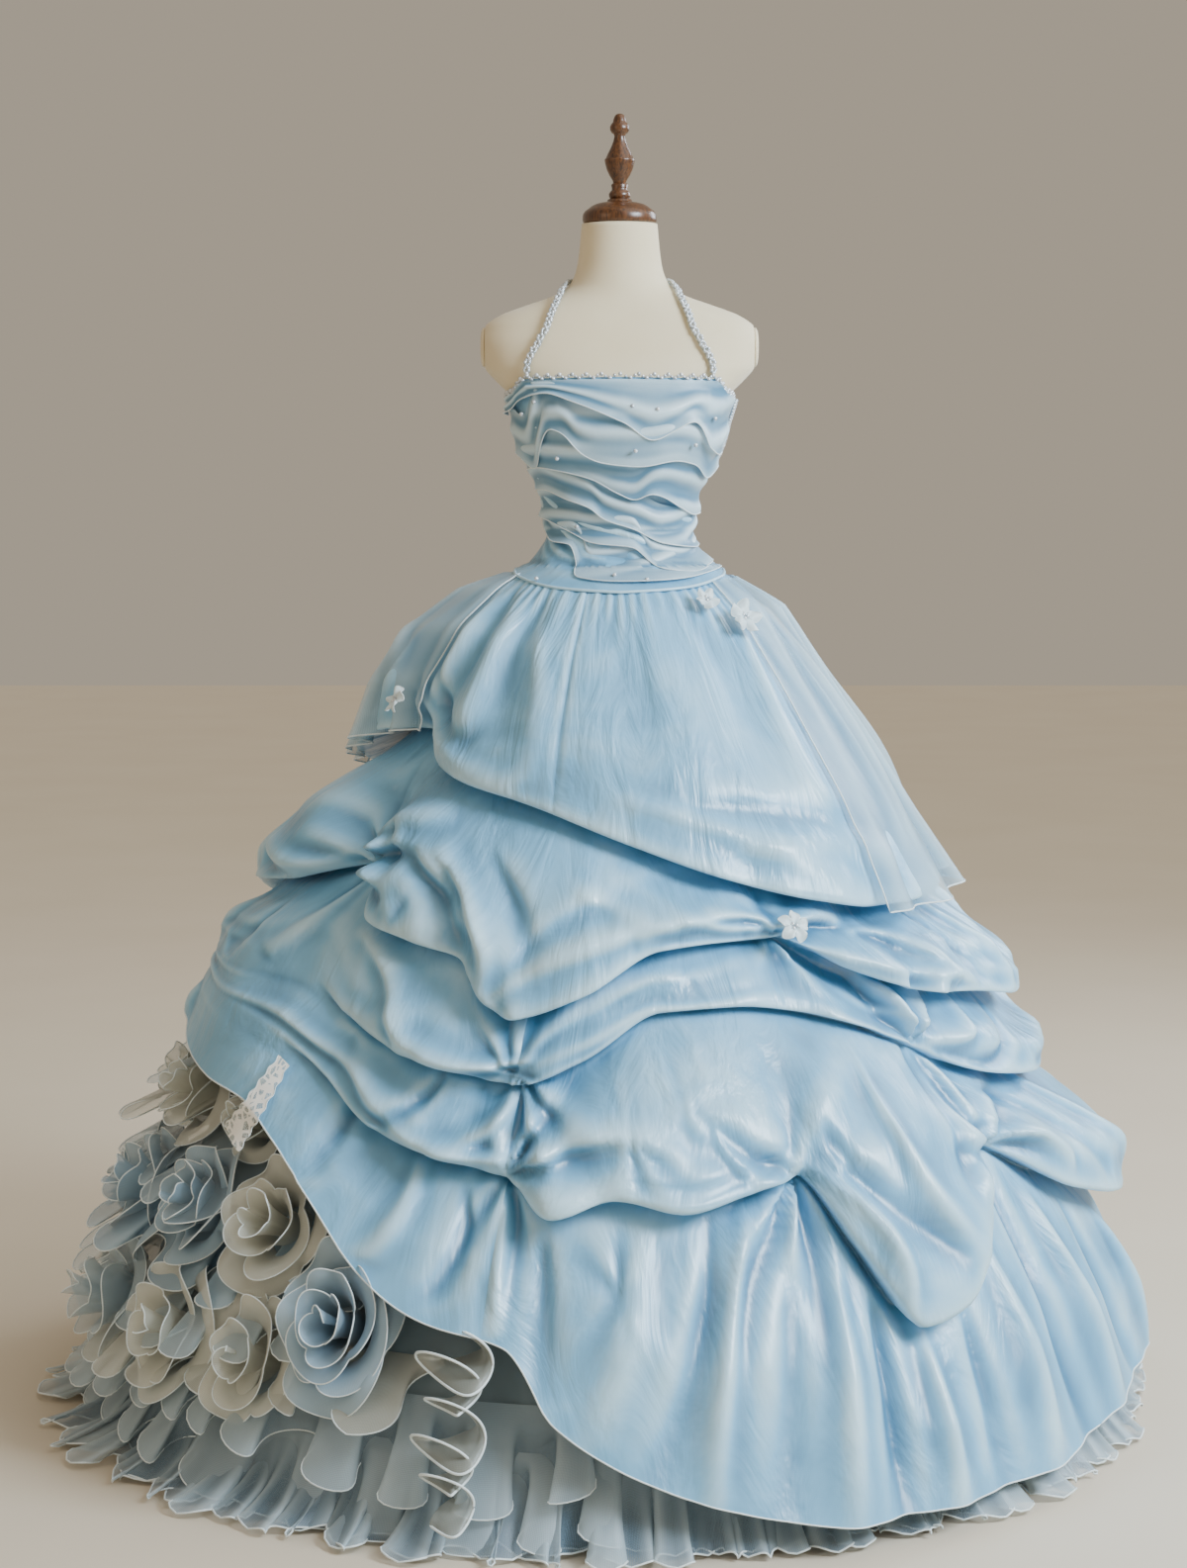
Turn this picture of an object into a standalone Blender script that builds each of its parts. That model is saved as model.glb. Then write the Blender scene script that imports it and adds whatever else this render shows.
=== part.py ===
"""Ball gown with a pick-up skirt, standing on a limbless dress form.

Metres, +Z up. The origin is the centre of the stand's underside. The gown faces -Y, so +X is the wearer's
left. Angles round the body are in degrees from the front, positive towards +X.
"""

import math

import bpy
import numpy as np
from mathutils import Vector
from mathutils.bvhtree import BVHTree

# Driving dimensions.
CLOTH = 0.0018  # a doubled layer of satin organza
SHEER = 0.0015  # starched organza of the rosettes, flounces and drapes
SEAM = 0.0003  # between two pieces that are sewn together or rest on each other
SKIRT_TOP = 1.164  # the skirt's waist seam, under the bodice's hem
PETTICOAT_HEM = 0.012
TORSO_BOTTOM = 0.90
BODICE_EASE = 0.0010  # the bodice's lining off the form
OVERSKIRT_EASE = 0.0065  # the gathered overskirt off the petticoat
# Each gore's fold lines round the skirt, from seam to seam. They meet the tacks that gather the puffs.
GORES = (
    ("front", (-14.4, -7, 0.5, 8, 15, 22, 28, 35, 42, 49, 54, 57.6)),
    ("left", (57.6, 65, 73, 82, 91, 100, 108, 115, 122.5, 130)),
    ("back_left", (130, 138, 146, 154, 162, 170, 178, 186, 194, 202)),
    ("back_right", (202, 208, 215, 222, 230, 238, 246, 254, 264, 273.6)),
    ("right", (273.6, 280, 287, 295, 302, 309, 317, 325, 333, 339.5, 345.6)),
)
POLE_RADIUS = 0.016
BASE_RADIUS, BASE_HEIGHT = 0.19, 0.016

# Horizontal sections of the dress form: height, half width, depth in front, depth behind, squareness.
TORSO = (
    (0.900, 0.150, 0.118, 0.125, 2.2),
    (0.960, 0.168, 0.122, 0.135, 2.2),
    (1.030, 0.166, 0.118, 0.132, 2.2),
    (1.090, 0.148, 0.110, 0.116, 2.2),
    (1.140, 0.123, 0.098, 0.094, 2.2),
    (1.175, 0.107, 0.088, 0.082, 2.1),
    (1.215, 0.099, 0.084, 0.079, 2.1),
    (1.255, 0.103, 0.090, 0.083, 2.1),
    (1.295, 0.118, 0.108, 0.091, 2.2),
    (1.335, 0.135, 0.127, 0.099, 2.3),
    (1.370, 0.144, 0.128, 0.103, 2.3),
    (1.400, 0.153, 0.114, 0.104, 2.3),
    (1.420, 0.172, 0.103, 0.102, 2.3),
    (1.440, 0.188, 0.094, 0.099, 2.3),
    (1.470, 0.194, 0.082, 0.092, 2.3),
    (1.492, 0.188, 0.074, 0.084, 2.2),
    (1.508, 0.168, 0.068, 0.077, 2.2),
    (1.522, 0.132, 0.063, 0.071, 2.1),
    (1.536, 0.092, 0.059, 0.066, 2.0),
    (1.552, 0.068, 0.057, 0.061, 2.0),
    (1.580, 0.058, 0.054, 0.057, 2.0),
    (1.634, 0.052, 0.051, 0.052, 2.0),
)
SHOULDER_CUT = 0.186  # half width across the flat armhole ends
ARM_PLATE = {"height": 1.466, "tall": 0.027, "deep": 0.027, "thick": 0.006}

# Turned profiles: height, radius.
NECK_CAP = ((1.6345, 0.0), (1.6345, 0.0490), (1.640, 0.0510), (1.648, 0.0505), (1.655, 0.0430), (1.661, 0.0340),
            (1.664, 0.0185), (1.668, 0.0165), (1.668, 0.0))
FINIAL = ((1.6683, 0.0), (1.6683, 0.0130), (1.675, 0.0150), (1.680, 0.0110), (1.687, 0.0118), (1.690, 0.0090),
          (1.700, 0.0140), (1.716, 0.0200), (1.7215, 0.0208), (1.729, 0.0170), (1.738, 0.0122), (1.753, 0.0073),
          (1.758, 0.0112), (1.766, 0.0135), (1.772, 0.0095), (1.7775, 0.0082), (1.783, 0.0045), (1.784, 0.0))
STAND_BASE = ((0.0, 0.0), (0.0, BASE_RADIUS), (0.009, BASE_RADIUS), (BASE_HEIGHT, BASE_RADIUS - 0.012),
              (BASE_HEIGHT, 0.034), (0.026, 0.026), (0.026, 0.0))

# The petticoat, which carries the skirt's bell: height, half width, half depth.
PETTICOAT = (
    (1.166, 0.1180, 0.0968),
    (1.152, 0.143, 0.121),
    (1.120, 0.172, 0.152),
    (1.000, 0.233, 0.221),
    (0.750, 0.371, 0.367),
    (0.450, 0.542, 0.542),
    (0.150, 0.664, 0.664),
    (0.012, 0.692, 0.692),
)

# The overskirt is gathered up in four rows of puffs. Each row's lower fold: angle, height, how far the puff
# hangs out past the petticoat there, swell above it, and how far the cloth turns back under it, 0 to 1.
APRON_FOLD = (
    (-97, 0.900, 0.085, 0.040, 1), (-80, 0.935, 0.070, 0.040, 1), (-65, 0.945, 0.026, 0.035, 1),
    (-46, 0.900, 0.045, 0.030, 1), (-17, 0.855, 0.045, 0.028, 1), (2, 0.812, 0.048, 0.028, 1),
    (19, 0.770, 0.052, 0.028, 1), (35, 0.738, 0.058, 0.026, 1), (50, 0.720, 0.065, 0.020, 1),
    (70, 0.722, 0.072, 0.008, 1), (90, 0.740, 0.066, 0.006, 1), (103, 0.785, 0.014, 0.020, 1),
    (125, 0.735, 0.065, 0.035, 1), (150, 0.750, 0.070, 0.045, 1), (172, 0.810, 0.016, 0.045, 1),
    (-165, 0.770, 0.070, 0.050, 1), (-140, 0.795, 0.080, 0.050, 1), (-118, 0.860, 0.085, 0.045, 1),
)
POUCH_FOLD = (
    (-95, 0.715, 0.125, 0.030, 0.5), (-75, 0.735, 0.095, 0.030, 0.7), (-58, 0.772, 0.014, 0.020, 1),
    (-46, 0.705, 0.060, 0.020, 1), (-36, 0.690, 0.066, 0.020, 1), (-27, 0.672, 0.050, 0.018, 1),
    (-16, 0.608, 0.060, 0.020, 1), (-6, 0.636, 0.066, 0.020, 1), (6, 0.690, 0.052, 0.015, 1),
    (17, 0.697, 0.034, 0.010, 1), (28, 0.698, 0.014, 0.008, 1), (38, 0.655, 0.045, 0.012, 1),
    (50, 0.618, 0.060, 0.018, 1), (64, 0.600, 0.072, 0.020, 1), (78, 0.580, 0.085, 0.020, 1),
    (91, 0.585, 0.078, 0.020, 1), (106, 0.645, 0.014, 0.020, 1), (124, 0.570, 0.080, 0.028, 1),
    (141, 0.565, 0.085, 0.028, 1), (158, 0.640, 0.014, 0.020, 1), (176, 0.560, 0.085, 0.028, 1),
    (-166, 0.565, 0.090, 0.028, 1), (-148, 0.645, 0.014, 0.025, 1), (-130, 0.620, 0.085, 0.028, 1),
    (-112, 0.665, 0.110, 0.030, 0.8),
)
LAP_FOLD = (
    (-92, 0.655, 0.120, 0.006, 0), (-70, 0.650, 0.100, 0.006, 0), (-56, 0.640, 0.050, 0.006, 0),
    (-46, 0.602, 0.042, 0.006, 0.3), (-38, 0.574, 0.042, 0.008, 0.7), (-28, 0.552, 0.045, 0.010, 1),
    (-15, 0.532, 0.016, 0.006, 1), (-6, 0.560, 0.022, 0.008, 1), (6, 0.618, 0.022, 0.004, 1),
    (17, 0.622, 0.026, 0.003, 1), (28, 0.610, 0.026, 0.003, 1), (38, 0.585, 0.030, 0.004, 1),
    (49, 0.548, 0.014, 0.004, 1), (60, 0.500, 0.050, 0.012, 1), (76, 0.478, 0.062, 0.014, 1),
    (92, 0.490, 0.052, 0.014, 1), (108, 0.530, 0.014, 0.012, 1), (128, 0.450, 0.060, 0.016, 1),
    (150, 0.440, 0.066, 0.018, 1), (168, 0.510, 0.014, 0.012, 1), (-172, 0.440, 0.066, 0.018, 1),
    (-154, 0.450, 0.066, 0.018, 1), (-136, 0.515, 0.030, 0.014, 0.8), (-125, 0.548, 0.066, 0.008, 0.4),
    (-114, 0.580, 0.100, 0.006, 0),
)
LOWER_FOLD = (
    (-92, 0.610, 0.112, 0.000, 0), (-70, 0.595, 0.105, 0.000, 0), (-56, 0.575, 0.078, 0.000, 0),
    (-43, 0.525, 0.050, 0.000, 0.3), (-33, 0.470, 0.046, 0.006, 0.8), (-23, 0.444, 0.044, 0.008, 1),
    (-14.4, 0.428, 0.014, 0.006, 1), (-8, 0.388, 0.060, 0.014, 1), (-1, 0.408, 0.060, 0.016, 1),
    (7, 0.392, 0.062, 0.016, 1), (14, 0.408, 0.050, 0.012, 1), (22, 0.424, 0.030, 0.010, 1),
    (27, 0.330, 0.056, 0.020, 1), (32, 0.240, 0.070, 0.026, 1), (38, 0.255, 0.074, 0.026, 1),
    (46, 0.335, 0.064, 0.020, 1), (54, 0.418, 0.016, 0.012, 1), (66, 0.340, 0.070, 0.026, 1),
    (82, 0.300, 0.096, 0.034, 1), (98, 0.330, 0.080, 0.030, 1), (112, 0.400, 0.016, 0.018, 1),
    (132, 0.290, 0.080, 0.030, 1), (152, 0.300, 0.084, 0.030, 1), (170, 0.390, 0.016, 0.016, 1),
    (-172, 0.310, 0.075, 0.026, 1), (-154, 0.330, 0.075, 0.026, 1), (-138, 0.420, 0.040, 0.008, 0.8),
    (-126, 0.475, 0.070, 0.004, 0.4), (-114, 0.525, 0.100, 0.000, 0),
)
FILL = (1.35, 2.0, 2.0, 2.0)  # how soon each row's puffs swing out: 1 is evenly, more is sooner
# The overskirt's own hem: angle, height, flare. It is caught up over the rosettes on the wearer's right.
HEM = (
    (-92, 0.560, 0.102), (-80, 0.530, 0.102), (-62, 0.500, 0.095), (-53, 0.490, 0.090), (-44.6, 0.450, 0.085),
    (-37.6, 0.400, 0.080), (-28, 0.316, 0.075), (-20.6, 0.272, 0.066), (-12, 0.248, 0.058),
    (-6.4, 0.165, 0.062), (6, 0.085, 0.068), (21.7, 0.042, 0.076), (30, 0.040, 0.066), (47, 0.045, 0.056),
    (62, 0.070, 0.052), (78, 0.086, 0.056), (92, 0.078, 0.060), (115, 0.046, 0.060), (150, 0.040, 0.062),
    (180, 0.042, 0.064), (-150, 0.060, 0.066), (-132, 0.200, 0.078), (-118, 0.380, 0.096),
    (-106, 0.480, 0.100),
)

# Rosettes on the petticoat: name, angle, height, half width, half height, depth, turns of ribbon.
ROSETTES = (
    ("blue_rose", -31.0, 0.232, 0.079, 0.098, 0.080, 2.4),
    ("cream_rose", -44.0, 0.325, 0.084, 0.079, 0.075, 2.0),
    ("blue_bud", -58.5, 0.322, 0.077, 0.077, 0.085, 2.4),
    ("cream_fan", -56.5, 0.172, 0.089, 0.089, 0.085, 2.0),
    ("upper_cream", -55.0, 0.434, 0.053, 0.048, 0.070, 1.6),
    ("upper_side", -74.5, 0.432, 0.074, 0.065, 0.090, 2.0),
    ("side_bud", -74.5, 0.300, 0.084, 0.082, 0.105, 2.2),
    ("side_fan", -74.0, 0.158, 0.089, 0.079, 0.110, 2.0),
    ("low_cream", -42.5, 0.172, 0.070, 0.086, 0.070, 1.8),
    ("rear_upper", -94.5, 0.410, 0.082, 0.079, 0.090, 2.2),
    ("rear_bud", -93.0, 0.262, 0.084, 0.079, 0.095, 2.0),
    ("rear_low", -91.0, 0.130, 0.072, 0.062, 0.090, 2.0),
    ("back_low", -110.5, 0.190, 0.084, 0.084, 0.080, 2.2),
)
JABOT = {"angle": -16.0, "middle": 0.156, "wide": 0.034, "tall": 0.140, "deep": 0.050, "folds": 2}

# Organza drapes on the bodice, lowest first: name, then at each end and the middle the top and bottom heights.
# The ends are the wearer's right and left side seams.
DRAPES = (
    ("hip", (1.205, 1.160), (1.185, 1.139), (1.190, 1.162)),
    ("low_waist", (1.243, 1.196), (1.222, 1.168), (1.205, 1.180)),
    ("waist", (1.278, 1.232), (1.256, 1.204), (1.228, 1.195)),
    ("under_bust", (1.312, 1.268), (1.296, 1.240), (1.262, 1.220)),
    ("bust", (1.360, 1.296), (1.345, 1.280), (1.318, 1.248)),
    ("neckline", (1.402, 1.345), (1.418, 1.330), (1.384, 1.304)),
)
DRAPE_SPAN = 84.0  # each drape reaches this many degrees to either side of the front

# Small silk flowers: name, angle, height, how far off the petticoat's bell, radius.
FLOWERS = (
    ("hip_flower", 44.0, 1.098, 0.046, 0.021),
    ("hip_flower_small", 33.0, 1.122, 0.034, 0.014),
    ("apron_flower", -64.0, 0.985, 0.0, 0.016),
    ("tack_flower", 28.5, 0.715, 0.0, 0.017),
)

# The halter strap over one shoulder: height, angle of the form's section.
STRAP = ((1.4275, 41), (1.450, 36), (1.470, 31), (1.492, 29), (1.508, 31), (1.522, 39), (1.536, 58), (1.547, 80),
         (1.553, 104), (1.557, 130), (1.559, 155), (1.559, 179.4))


def material(name, colour, roughness, metallic=0.0):
    """A plain Principled finish in the piece's own colour."""
    made = bpy.data.materials.new(name)
    made.use_nodes = True
    shader = made.node_tree.nodes["Principled BSDF"]
    shader.inputs["Base Color"].default_value = (*colour, 1)
    shader.inputs["Roughness"].default_value = roughness
    shader.inputs["Metallic"].default_value = metallic
    return made


def solid(name, points, faces, finish):
    """One closed object from its corner points and faces, shaded smooth where it is round."""
    mesh = bpy.data.meshes.new(name)
    mesh.from_pydata([tuple(map(float, p)) for p in points], [], [tuple(map(int, f)) for f in faces])
    mesh.materials.append(finish)
    mesh.shade_smooth()
    mesh.set_sharp_from_angle(angle=math.radians(40))
    made = bpy.data.objects.new(name, mesh)
    bpy.context.scene.collection.objects.link(made)
    return made


def behind(grid, thick, closed=False):
    """The inner face of a wall of cloth, its thickness behind the outer face. The grid's first index runs towards
    +X at the front and its second runs down, and the corners of its folds are mitred."""
    if closed:
        along = np.roll(grid, -1, 0) - np.roll(grid, 1, 0)
    else:
        along = np.gradient(grid, axis=0)
    step = np.diff(grid, axis=1)
    above = np.cross(np.concatenate([step[:, :1], step], axis=1), along)
    below = np.cross(np.concatenate([step, step[:, -1:]], axis=1), along)
    above /= np.linalg.norm(above, axis=2, keepdims=True)
    below /= np.linalg.norm(below, axis=2, keepdims=True)
    spread = 1 + np.sum(above * below, axis=2, keepdims=True)
    return grid - thick * (above + below) / np.maximum(spread, 0.7)


def wall(name, outer, inner, finish, closed=False):
    """A panel of cloth between its two faces. Both faces of each square are split along the same diagonal."""
    across, down = outer.shape[:2]
    points = np.concatenate([outer.reshape(-1, 3), inner.reshape(-1, 3)])
    far = across * down
    faces = []
    last = across if closed else across - 1
    rims = []
    for i in range(last):
        a, b = i * down, (i + 1) % across * down
        for j in range(down - 1):
            for face in ((a + j, a + j + 1, b + j + 1), (a + j, b + j + 1, b + j)):
                faces.append(face)
                faces.append([k + far for k in reversed(face)])
        rims += [(a, b), (b + down - 1, a + down - 1)]
    if not closed:
        rims += [(j + 1, j) for j in range(down - 1)]
    for a, b in rims:
        faces += [(a, b, b + far), (a, b + far, a + far)]
    if not closed:
        for a in range((across - 1) * down, across * down - 1):
            faces += [(a, a + 1, a + far), (a + 1, a + 1 + far, a + far)]
    return solid(name, points, faces, finish)


def lofted(name, rings, finish):
    """A solid through rings of equal count, lowest first, closed by a flat face at each end."""
    count = len(rings[0])
    points = [p for ring in rings for p in ring]
    faces = []
    for k in range(len(rings) - 1):
        for i in range(count):
            a, b = k * count + i, k * count + (i + 1) % count
            faces.append([a, b, b + count, a + count])
    faces.append(list(reversed(range(count))))
    faces.append([(len(rings) - 1) * count + i for i in range(count)])
    return solid(name, points, faces, finish)


def turned(name, profile, finish, steps=20):
    """A piece turned on a lathe, about the Z axis, from its profile of height and radius, bottom to top."""
    rims = [(z, r) for z, r in profile if r > 0]
    turn = np.arange(steps) * 2 * math.pi / steps
    rings = [[(r * math.cos(a), r * math.sin(a), z) for a in turn] for z, r in rims]
    return lofted(name, rings, finish)


def between(heights, table, column):
    """A column of a table of sections at the given heights."""
    rows = sorted(table)
    return np.interp(heights, [row[0] for row in rows], [row[column] for row in rows])


def smoothed(table, columns):
    """Smooths a periodic table over angle: at each row the curve keeps level or the mean slope of its sides."""
    rows = sorted(table)
    angle = np.array([row[0] for row in rows], float)
    angle = np.concatenate([angle[-2:] - 360, angle, angle[:2] + 360])
    found = []
    for column in columns:
        value = np.array([row[column] for row in rows], float)
        value = np.concatenate([value[-2:], value, value[:2]])
        slope = np.diff(value) / np.diff(angle)
        before, after = slope[:-1], slope[1:]
        same = before * after > 0
        mean = np.where(same, 2 * before * after / np.where(same, before + after, 1), 0)
        found.append((angle[1:-1], value[1:-1], mean))
    return found


def smooth_at(phi, curve):
    """The curve of smoothed at the angles phi, by cubic Hermite pieces."""
    angle, value, slope = curve
    phi = (np.asarray(phi, float) + 180) % 360 - 180
    k = np.clip(np.searchsorted(angle, phi, side="right") - 1, 0, len(angle) - 2)
    step = angle[k + 1] - angle[k]
    t = (phi - angle[k]) / step
    return ((2 * t**3 - 3 * t**2 + 1) * value[k] + (t**3 - 2 * t**2 + t) * step * slope[k]
            + (3 * t**2 - 2 * t**3) * value[k + 1] + (t**3 - t**2) * step * slope[k + 1])


def torso_point(phi, height, off=0.0):
    """A point of the dress form, off its surface: a superellipse in each section, deeper or flatter behind."""
    a = np.radians(phi)
    wide = between(height, TORSO, 1) + off
    deep = np.where(np.cos(a) >= 0, between(height, TORSO, 2), between(height, TORSO, 3)) + off
    power = 2 / between(height, TORSO, 4)
    x = wide * np.sign(np.sin(a)) * np.abs(np.sin(a)) ** power
    y = -deep * np.sign(np.cos(a)) * np.abs(np.cos(a)) ** power
    return np.stack(np.broadcast_arrays(x, y, height), axis=-1)


def bell_point(phi, height, off=0.0):
    """A point of the petticoat's bell, off its surface."""
    a = np.radians(phi)
    wide, deep = between(height, PETTICOAT, 1) + off, between(height, PETTICOAT, 2) + off
    return np.stack(np.broadcast_arrays(wide * np.sin(a), -deep * np.cos(a), height), axis=-1)


def dress_form(canvas, wood, metal):
    """The canvas torso with flat armhole plates, its turned neck cap and finial, and the pole and base."""
    turn = np.arange(36) * 10.0
    rings = []
    for row in TORSO:
        ring = torso_point(turn, np.full(36, row[0]))
        ring[:, 0] = np.clip(ring[:, 0], -SHOULDER_CUT, SHOULDER_CUT)
        rings.append(ring)
    lofted("form_torso", rings, canvas)
    for side, name in ((1, "left"), (-1, "right")):
        turn = np.arange(20) * 2 * math.pi / 20
        oval = [(0.003 + ARM_PLATE["deep"] * math.cos(a), ARM_PLATE["height"] + ARM_PLATE["tall"] * math.sin(a))
                for a in turn]
        near = SHOULDER_CUT + SEAM
        far = near + ARM_PLATE["thick"]
        ends = [[(side * x, y, z) for y, z in oval] for x in (near, far)]
        lofted(f"arm_plate_{name}", ends if side > 0 else ends[::-1], canvas)
    turned("neck_cap", NECK_CAP, wood, 24)
    turned("finial", FINIAL, wood, 16)
    turned("stand_base", STAND_BASE, metal, 28)
    pole = ((0.026 + SEAM, POLE_RADIUS), (TORSO_BOTTOM - SEAM, POLE_RADIUS))
    turned("stand_pole", pole, metal, 16)


def bodice_top(phi):
    """The neckline: level across the bust, dipping under the arms and a little lower behind."""
    return np.interp(np.abs(phi), (0, 44, 60, 90, 130, 180), (1.422, 1.420, 1.404, 1.392, 1.388, 1.388))


def bodice_hem(phi):
    """The basque hem, a shallow point at the front."""
    return np.interp(np.abs(phi), (0, 25, 60, 90, 180), (1.134, 1.139, 1.152, 1.160, 1.160))


def bodice_point(phi, height, off=0.0):
    """A point of the bodice's outer face. Under the waist it lies over the top of the skirt."""
    ease = BODICE_EASE + 0.0015 * np.clip((height - 1.36) / 0.03, 0, 1)
    body = torso_point(phi, height, ease + CLOTH + off)
    skirt = bell_point(phi, height, 0.0105 + 0.8 * (PETTICOAT[0][0] - height) + off)
    over = (height < PETTICOAT[0][0] + 0.0005) & (np.hypot(skirt[..., 0], skirt[..., 1])
                                                 > np.hypot(body[..., 0], body[..., 1]))
    return np.where(over[..., None], skirt, body)


def sewn(outer, inner, phi):
    """A panel drawn back by half a seam's gap at its two ends, round the body."""
    outer, inner = outer.copy(), inner.copy()
    for end, way in ((0, 1), (-1, -1)):
        a = math.radians(phi[end])
        away = 0.5 * SEAM * way * np.array([math.cos(a), math.sin(a), 0])
        outer[end] += away
        inner[end] += away
    return outer, inner


def bodice(satin):
    """A front and two back panels, which close at the centre back."""
    phi = (np.arange(36) * 10.0 - 90 + 180) % 360 - 180
    rows = [bodice_top(phi)] + [np.full(36, h) for h in (1.370, 1.335, 1.295, 1.255, 1.215, 1.173)]
    rows += [0.5 * (1.166 + bodice_hem(phi)), bodice_hem(phi)]
    outer = np.stack([bodice_point(phi, row) for row in rows], axis=1)
    inner = behind(outer, CLOTH, closed=True)
    for name, start, end in (("bodice_front", 0, 18), ("bodice_back_left", 18, 27), ("bodice_back_right", 27, 36)):
        panel = np.arange(start, end + 1) % 36
        wall(name, *sewn(outer[panel], inner[panel], phi[panel]), satin)


def bodice_drapes(sheer):
    """Sheer bands folded across the bodice front, each lapping the one below and standing away at its edge."""
    phi = np.array((-80, -70, -50, -30, -10, 10, 30, 50, 70, 80), float)[:, None]
    down = np.array([0.0, 0.6, 1.0])[None, :]
    phi, down = np.broadcast_arrays(phi, down)
    carriers = [bpy.data.objects["bodice_front"]]
    for order, (name, right, middle, left) in enumerate(DRAPES):
        top = np.interp(phi, (-80, 0, 80), (right[0], middle[0], left[0]))
        top = np.minimum(top, bodice_top(phi) - 0.006)
        low = np.interp(phi, (-80, 0, 80), (right[1], middle[1], left[1]))
        ripple = 0.5 + 0.5 * np.cos(np.radians(5.0 * phi) + 1.9 * order)
        off = 0.0026 + 0.0040 * (down > 0.2) + (0.003 + 0.008 * ripple) * down**3
        grid = bodice_point(phi, top + (low - top) * down, off)
        made = wall(f"drape_{name}", grid, behind(grid, SHEER), sheer)
        seated(made, carriers, (0, -1, 0))
        carriers.append(made)


def halter(beads):
    """Two beaded straps from the neckline's corners, which hook together behind the neck."""
    rows = np.array(STRAP)
    where = np.linspace(0, len(rows) - 1, 17)
    height = np.interp(where, np.arange(len(rows)), rows[:, 0])
    phi = np.interp(where, np.arange(len(rows)), rows[:, 1])
    rise = np.cross(torso_point(phi + 2, height) - torso_point(phi - 2, height),
                    torso_point(phi, height + 0.004) - torso_point(phi, height - 0.004))
    rise /= np.linalg.norm(rise, axis=1, keepdims=True)
    line = torso_point(phi, height) + 0.0046 * rise
    line[-1, 0] = 0.5 * SEAM
    along = np.gradient(line, axis=0)
    across = np.cross(along, rise)
    across /= np.linalg.norm(across, axis=1, keepdims=True)
    across[-1, 0] = 0
    rise[-1, 0] = 0
    outer = np.stack([line + 0.0050 * across, line - 0.0050 * across], axis=1)
    inner = outer - 0.0020 * rise[:, None]
    wall("halter_left", outer[:, ::-1], inner[:, ::-1], beads)
    flip = np.array([-1, 1, 1])
    wall("halter_right", outer * flip, inner * flip, beads)


def neckline_trim(beads):
    """A beaded cord that lies round the top edge of the bodice."""
    phi = (np.arange(36) * 10.0 + 180) % 360 - 180
    lift = np.array([0, 0, 0.0022 + SEAM])
    middle = bodice_point(phi, bodice_top(phi), 0.0008) + lift
    away = bodice_point(phi, bodice_top(phi), 0.0030) + lift - middle
    sides = [middle + away * math.cos(a) + np.array([0, 0, 0.0022 * math.sin(a)])
             for a in np.radians((0, -90, 180, 90))]
    points = np.stack(sides, axis=1).reshape(-1, 3)
    faces = []
    for i in range(36):
        for k in range(4):
            a, b = i * 4 + k, ((i + 1) % 36) * 4 + k
            c, d = ((i + 1) % 36) * 4 + (k + 1) % 4, i * 4 + (k + 1) % 4
            faces.append([a, d, c, b])
    solid("neckline_trim", points, faces, beads)


def skirt_rows(phi):
    """The overskirt's cloth at the angles phi, waist to hem, as a grid. It runs out and down over each puff,
    turns under at the fold and goes back in to the petticoat, and the next puff comes out from under it."""
    rows = [(np.full_like(phi, 0.0046), np.full_like(phi, SKIRT_TOP))]
    start_off, start = np.full_like(phi, OVERSKIRT_EASE), np.full_like(phi, SKIRT_TOP)
    shares = ((0.035, 0.12, 0.35, 0.67, 1.0), (0.33, 0.67, 1.0), (0.5, 1.0), (0.5, 1.0))
    for order, table in enumerate((APRON_FOLD, POUCH_FOLD, LAP_FOLD, LOWER_FOLD)):
        fold, over, swell, turn = (smooth_at(phi, curve) for curve in smoothed(table, (1, 2, 3, 4)))
        over = np.maximum(over, 0.024) + OVERSKIRT_EASE
        for share in shares[order]:
            fill, bulge = 1 - (1 - share) ** FILL[order], swell * math.sin(math.pi * share) ** 1.1
            rows.append((start_off + (over - start_off) * fill + bulge, start + (fold - start) * share))
        back = OVERSKIRT_EASE + (over - OVERSKIRT_EASE) * (1 - turn)
        tuck = fold + turn * (0.75 * over - 0.024) - (1 - turn) * 0.012
        rows.append((back, tuck))
        start_off = over * (1 - 0.5 * turn)
        start = np.minimum(fold, tuck) - (0.010 + 0.12 * over * turn)
        rows.append((start_off, start))
    low, flare = (smooth_at(phi, curve) for curve in smoothed(HEM, (1, 2)))
    for share in (0.5, 1.0):
        rows.append((start_off + (OVERSKIRT_EASE + flare - start_off) * share**0.7, start + (low - start) * share))
    return np.stack([bell_point(phi, height, off) for off, height in rows], axis=1)


def overskirt(satin):
    """Five gores, seamed from the waist to the hem, a little thinner where the cloth is drawn in under a puff."""
    phi = np.concatenate([np.array(lines[:-1], float) for _, lines in GORES])
    outer = skirt_rows(phi)
    drawn_in = np.isin(np.arange(outer.shape[1]), (6, 11, 15, 19))
    inner = behind(outer, np.where(drawn_in, 0.6, 1.0)[None, :, None] * CLOTH, closed=True)
    first = 0
    for name, lines in GORES:
        panel = np.arange(first, first + len(lines)) % len(phi)
        wall(f"overskirt_{name}", *sewn(outer[panel], inner[panel], lines), satin)
        first += len(lines) - 1


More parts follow.
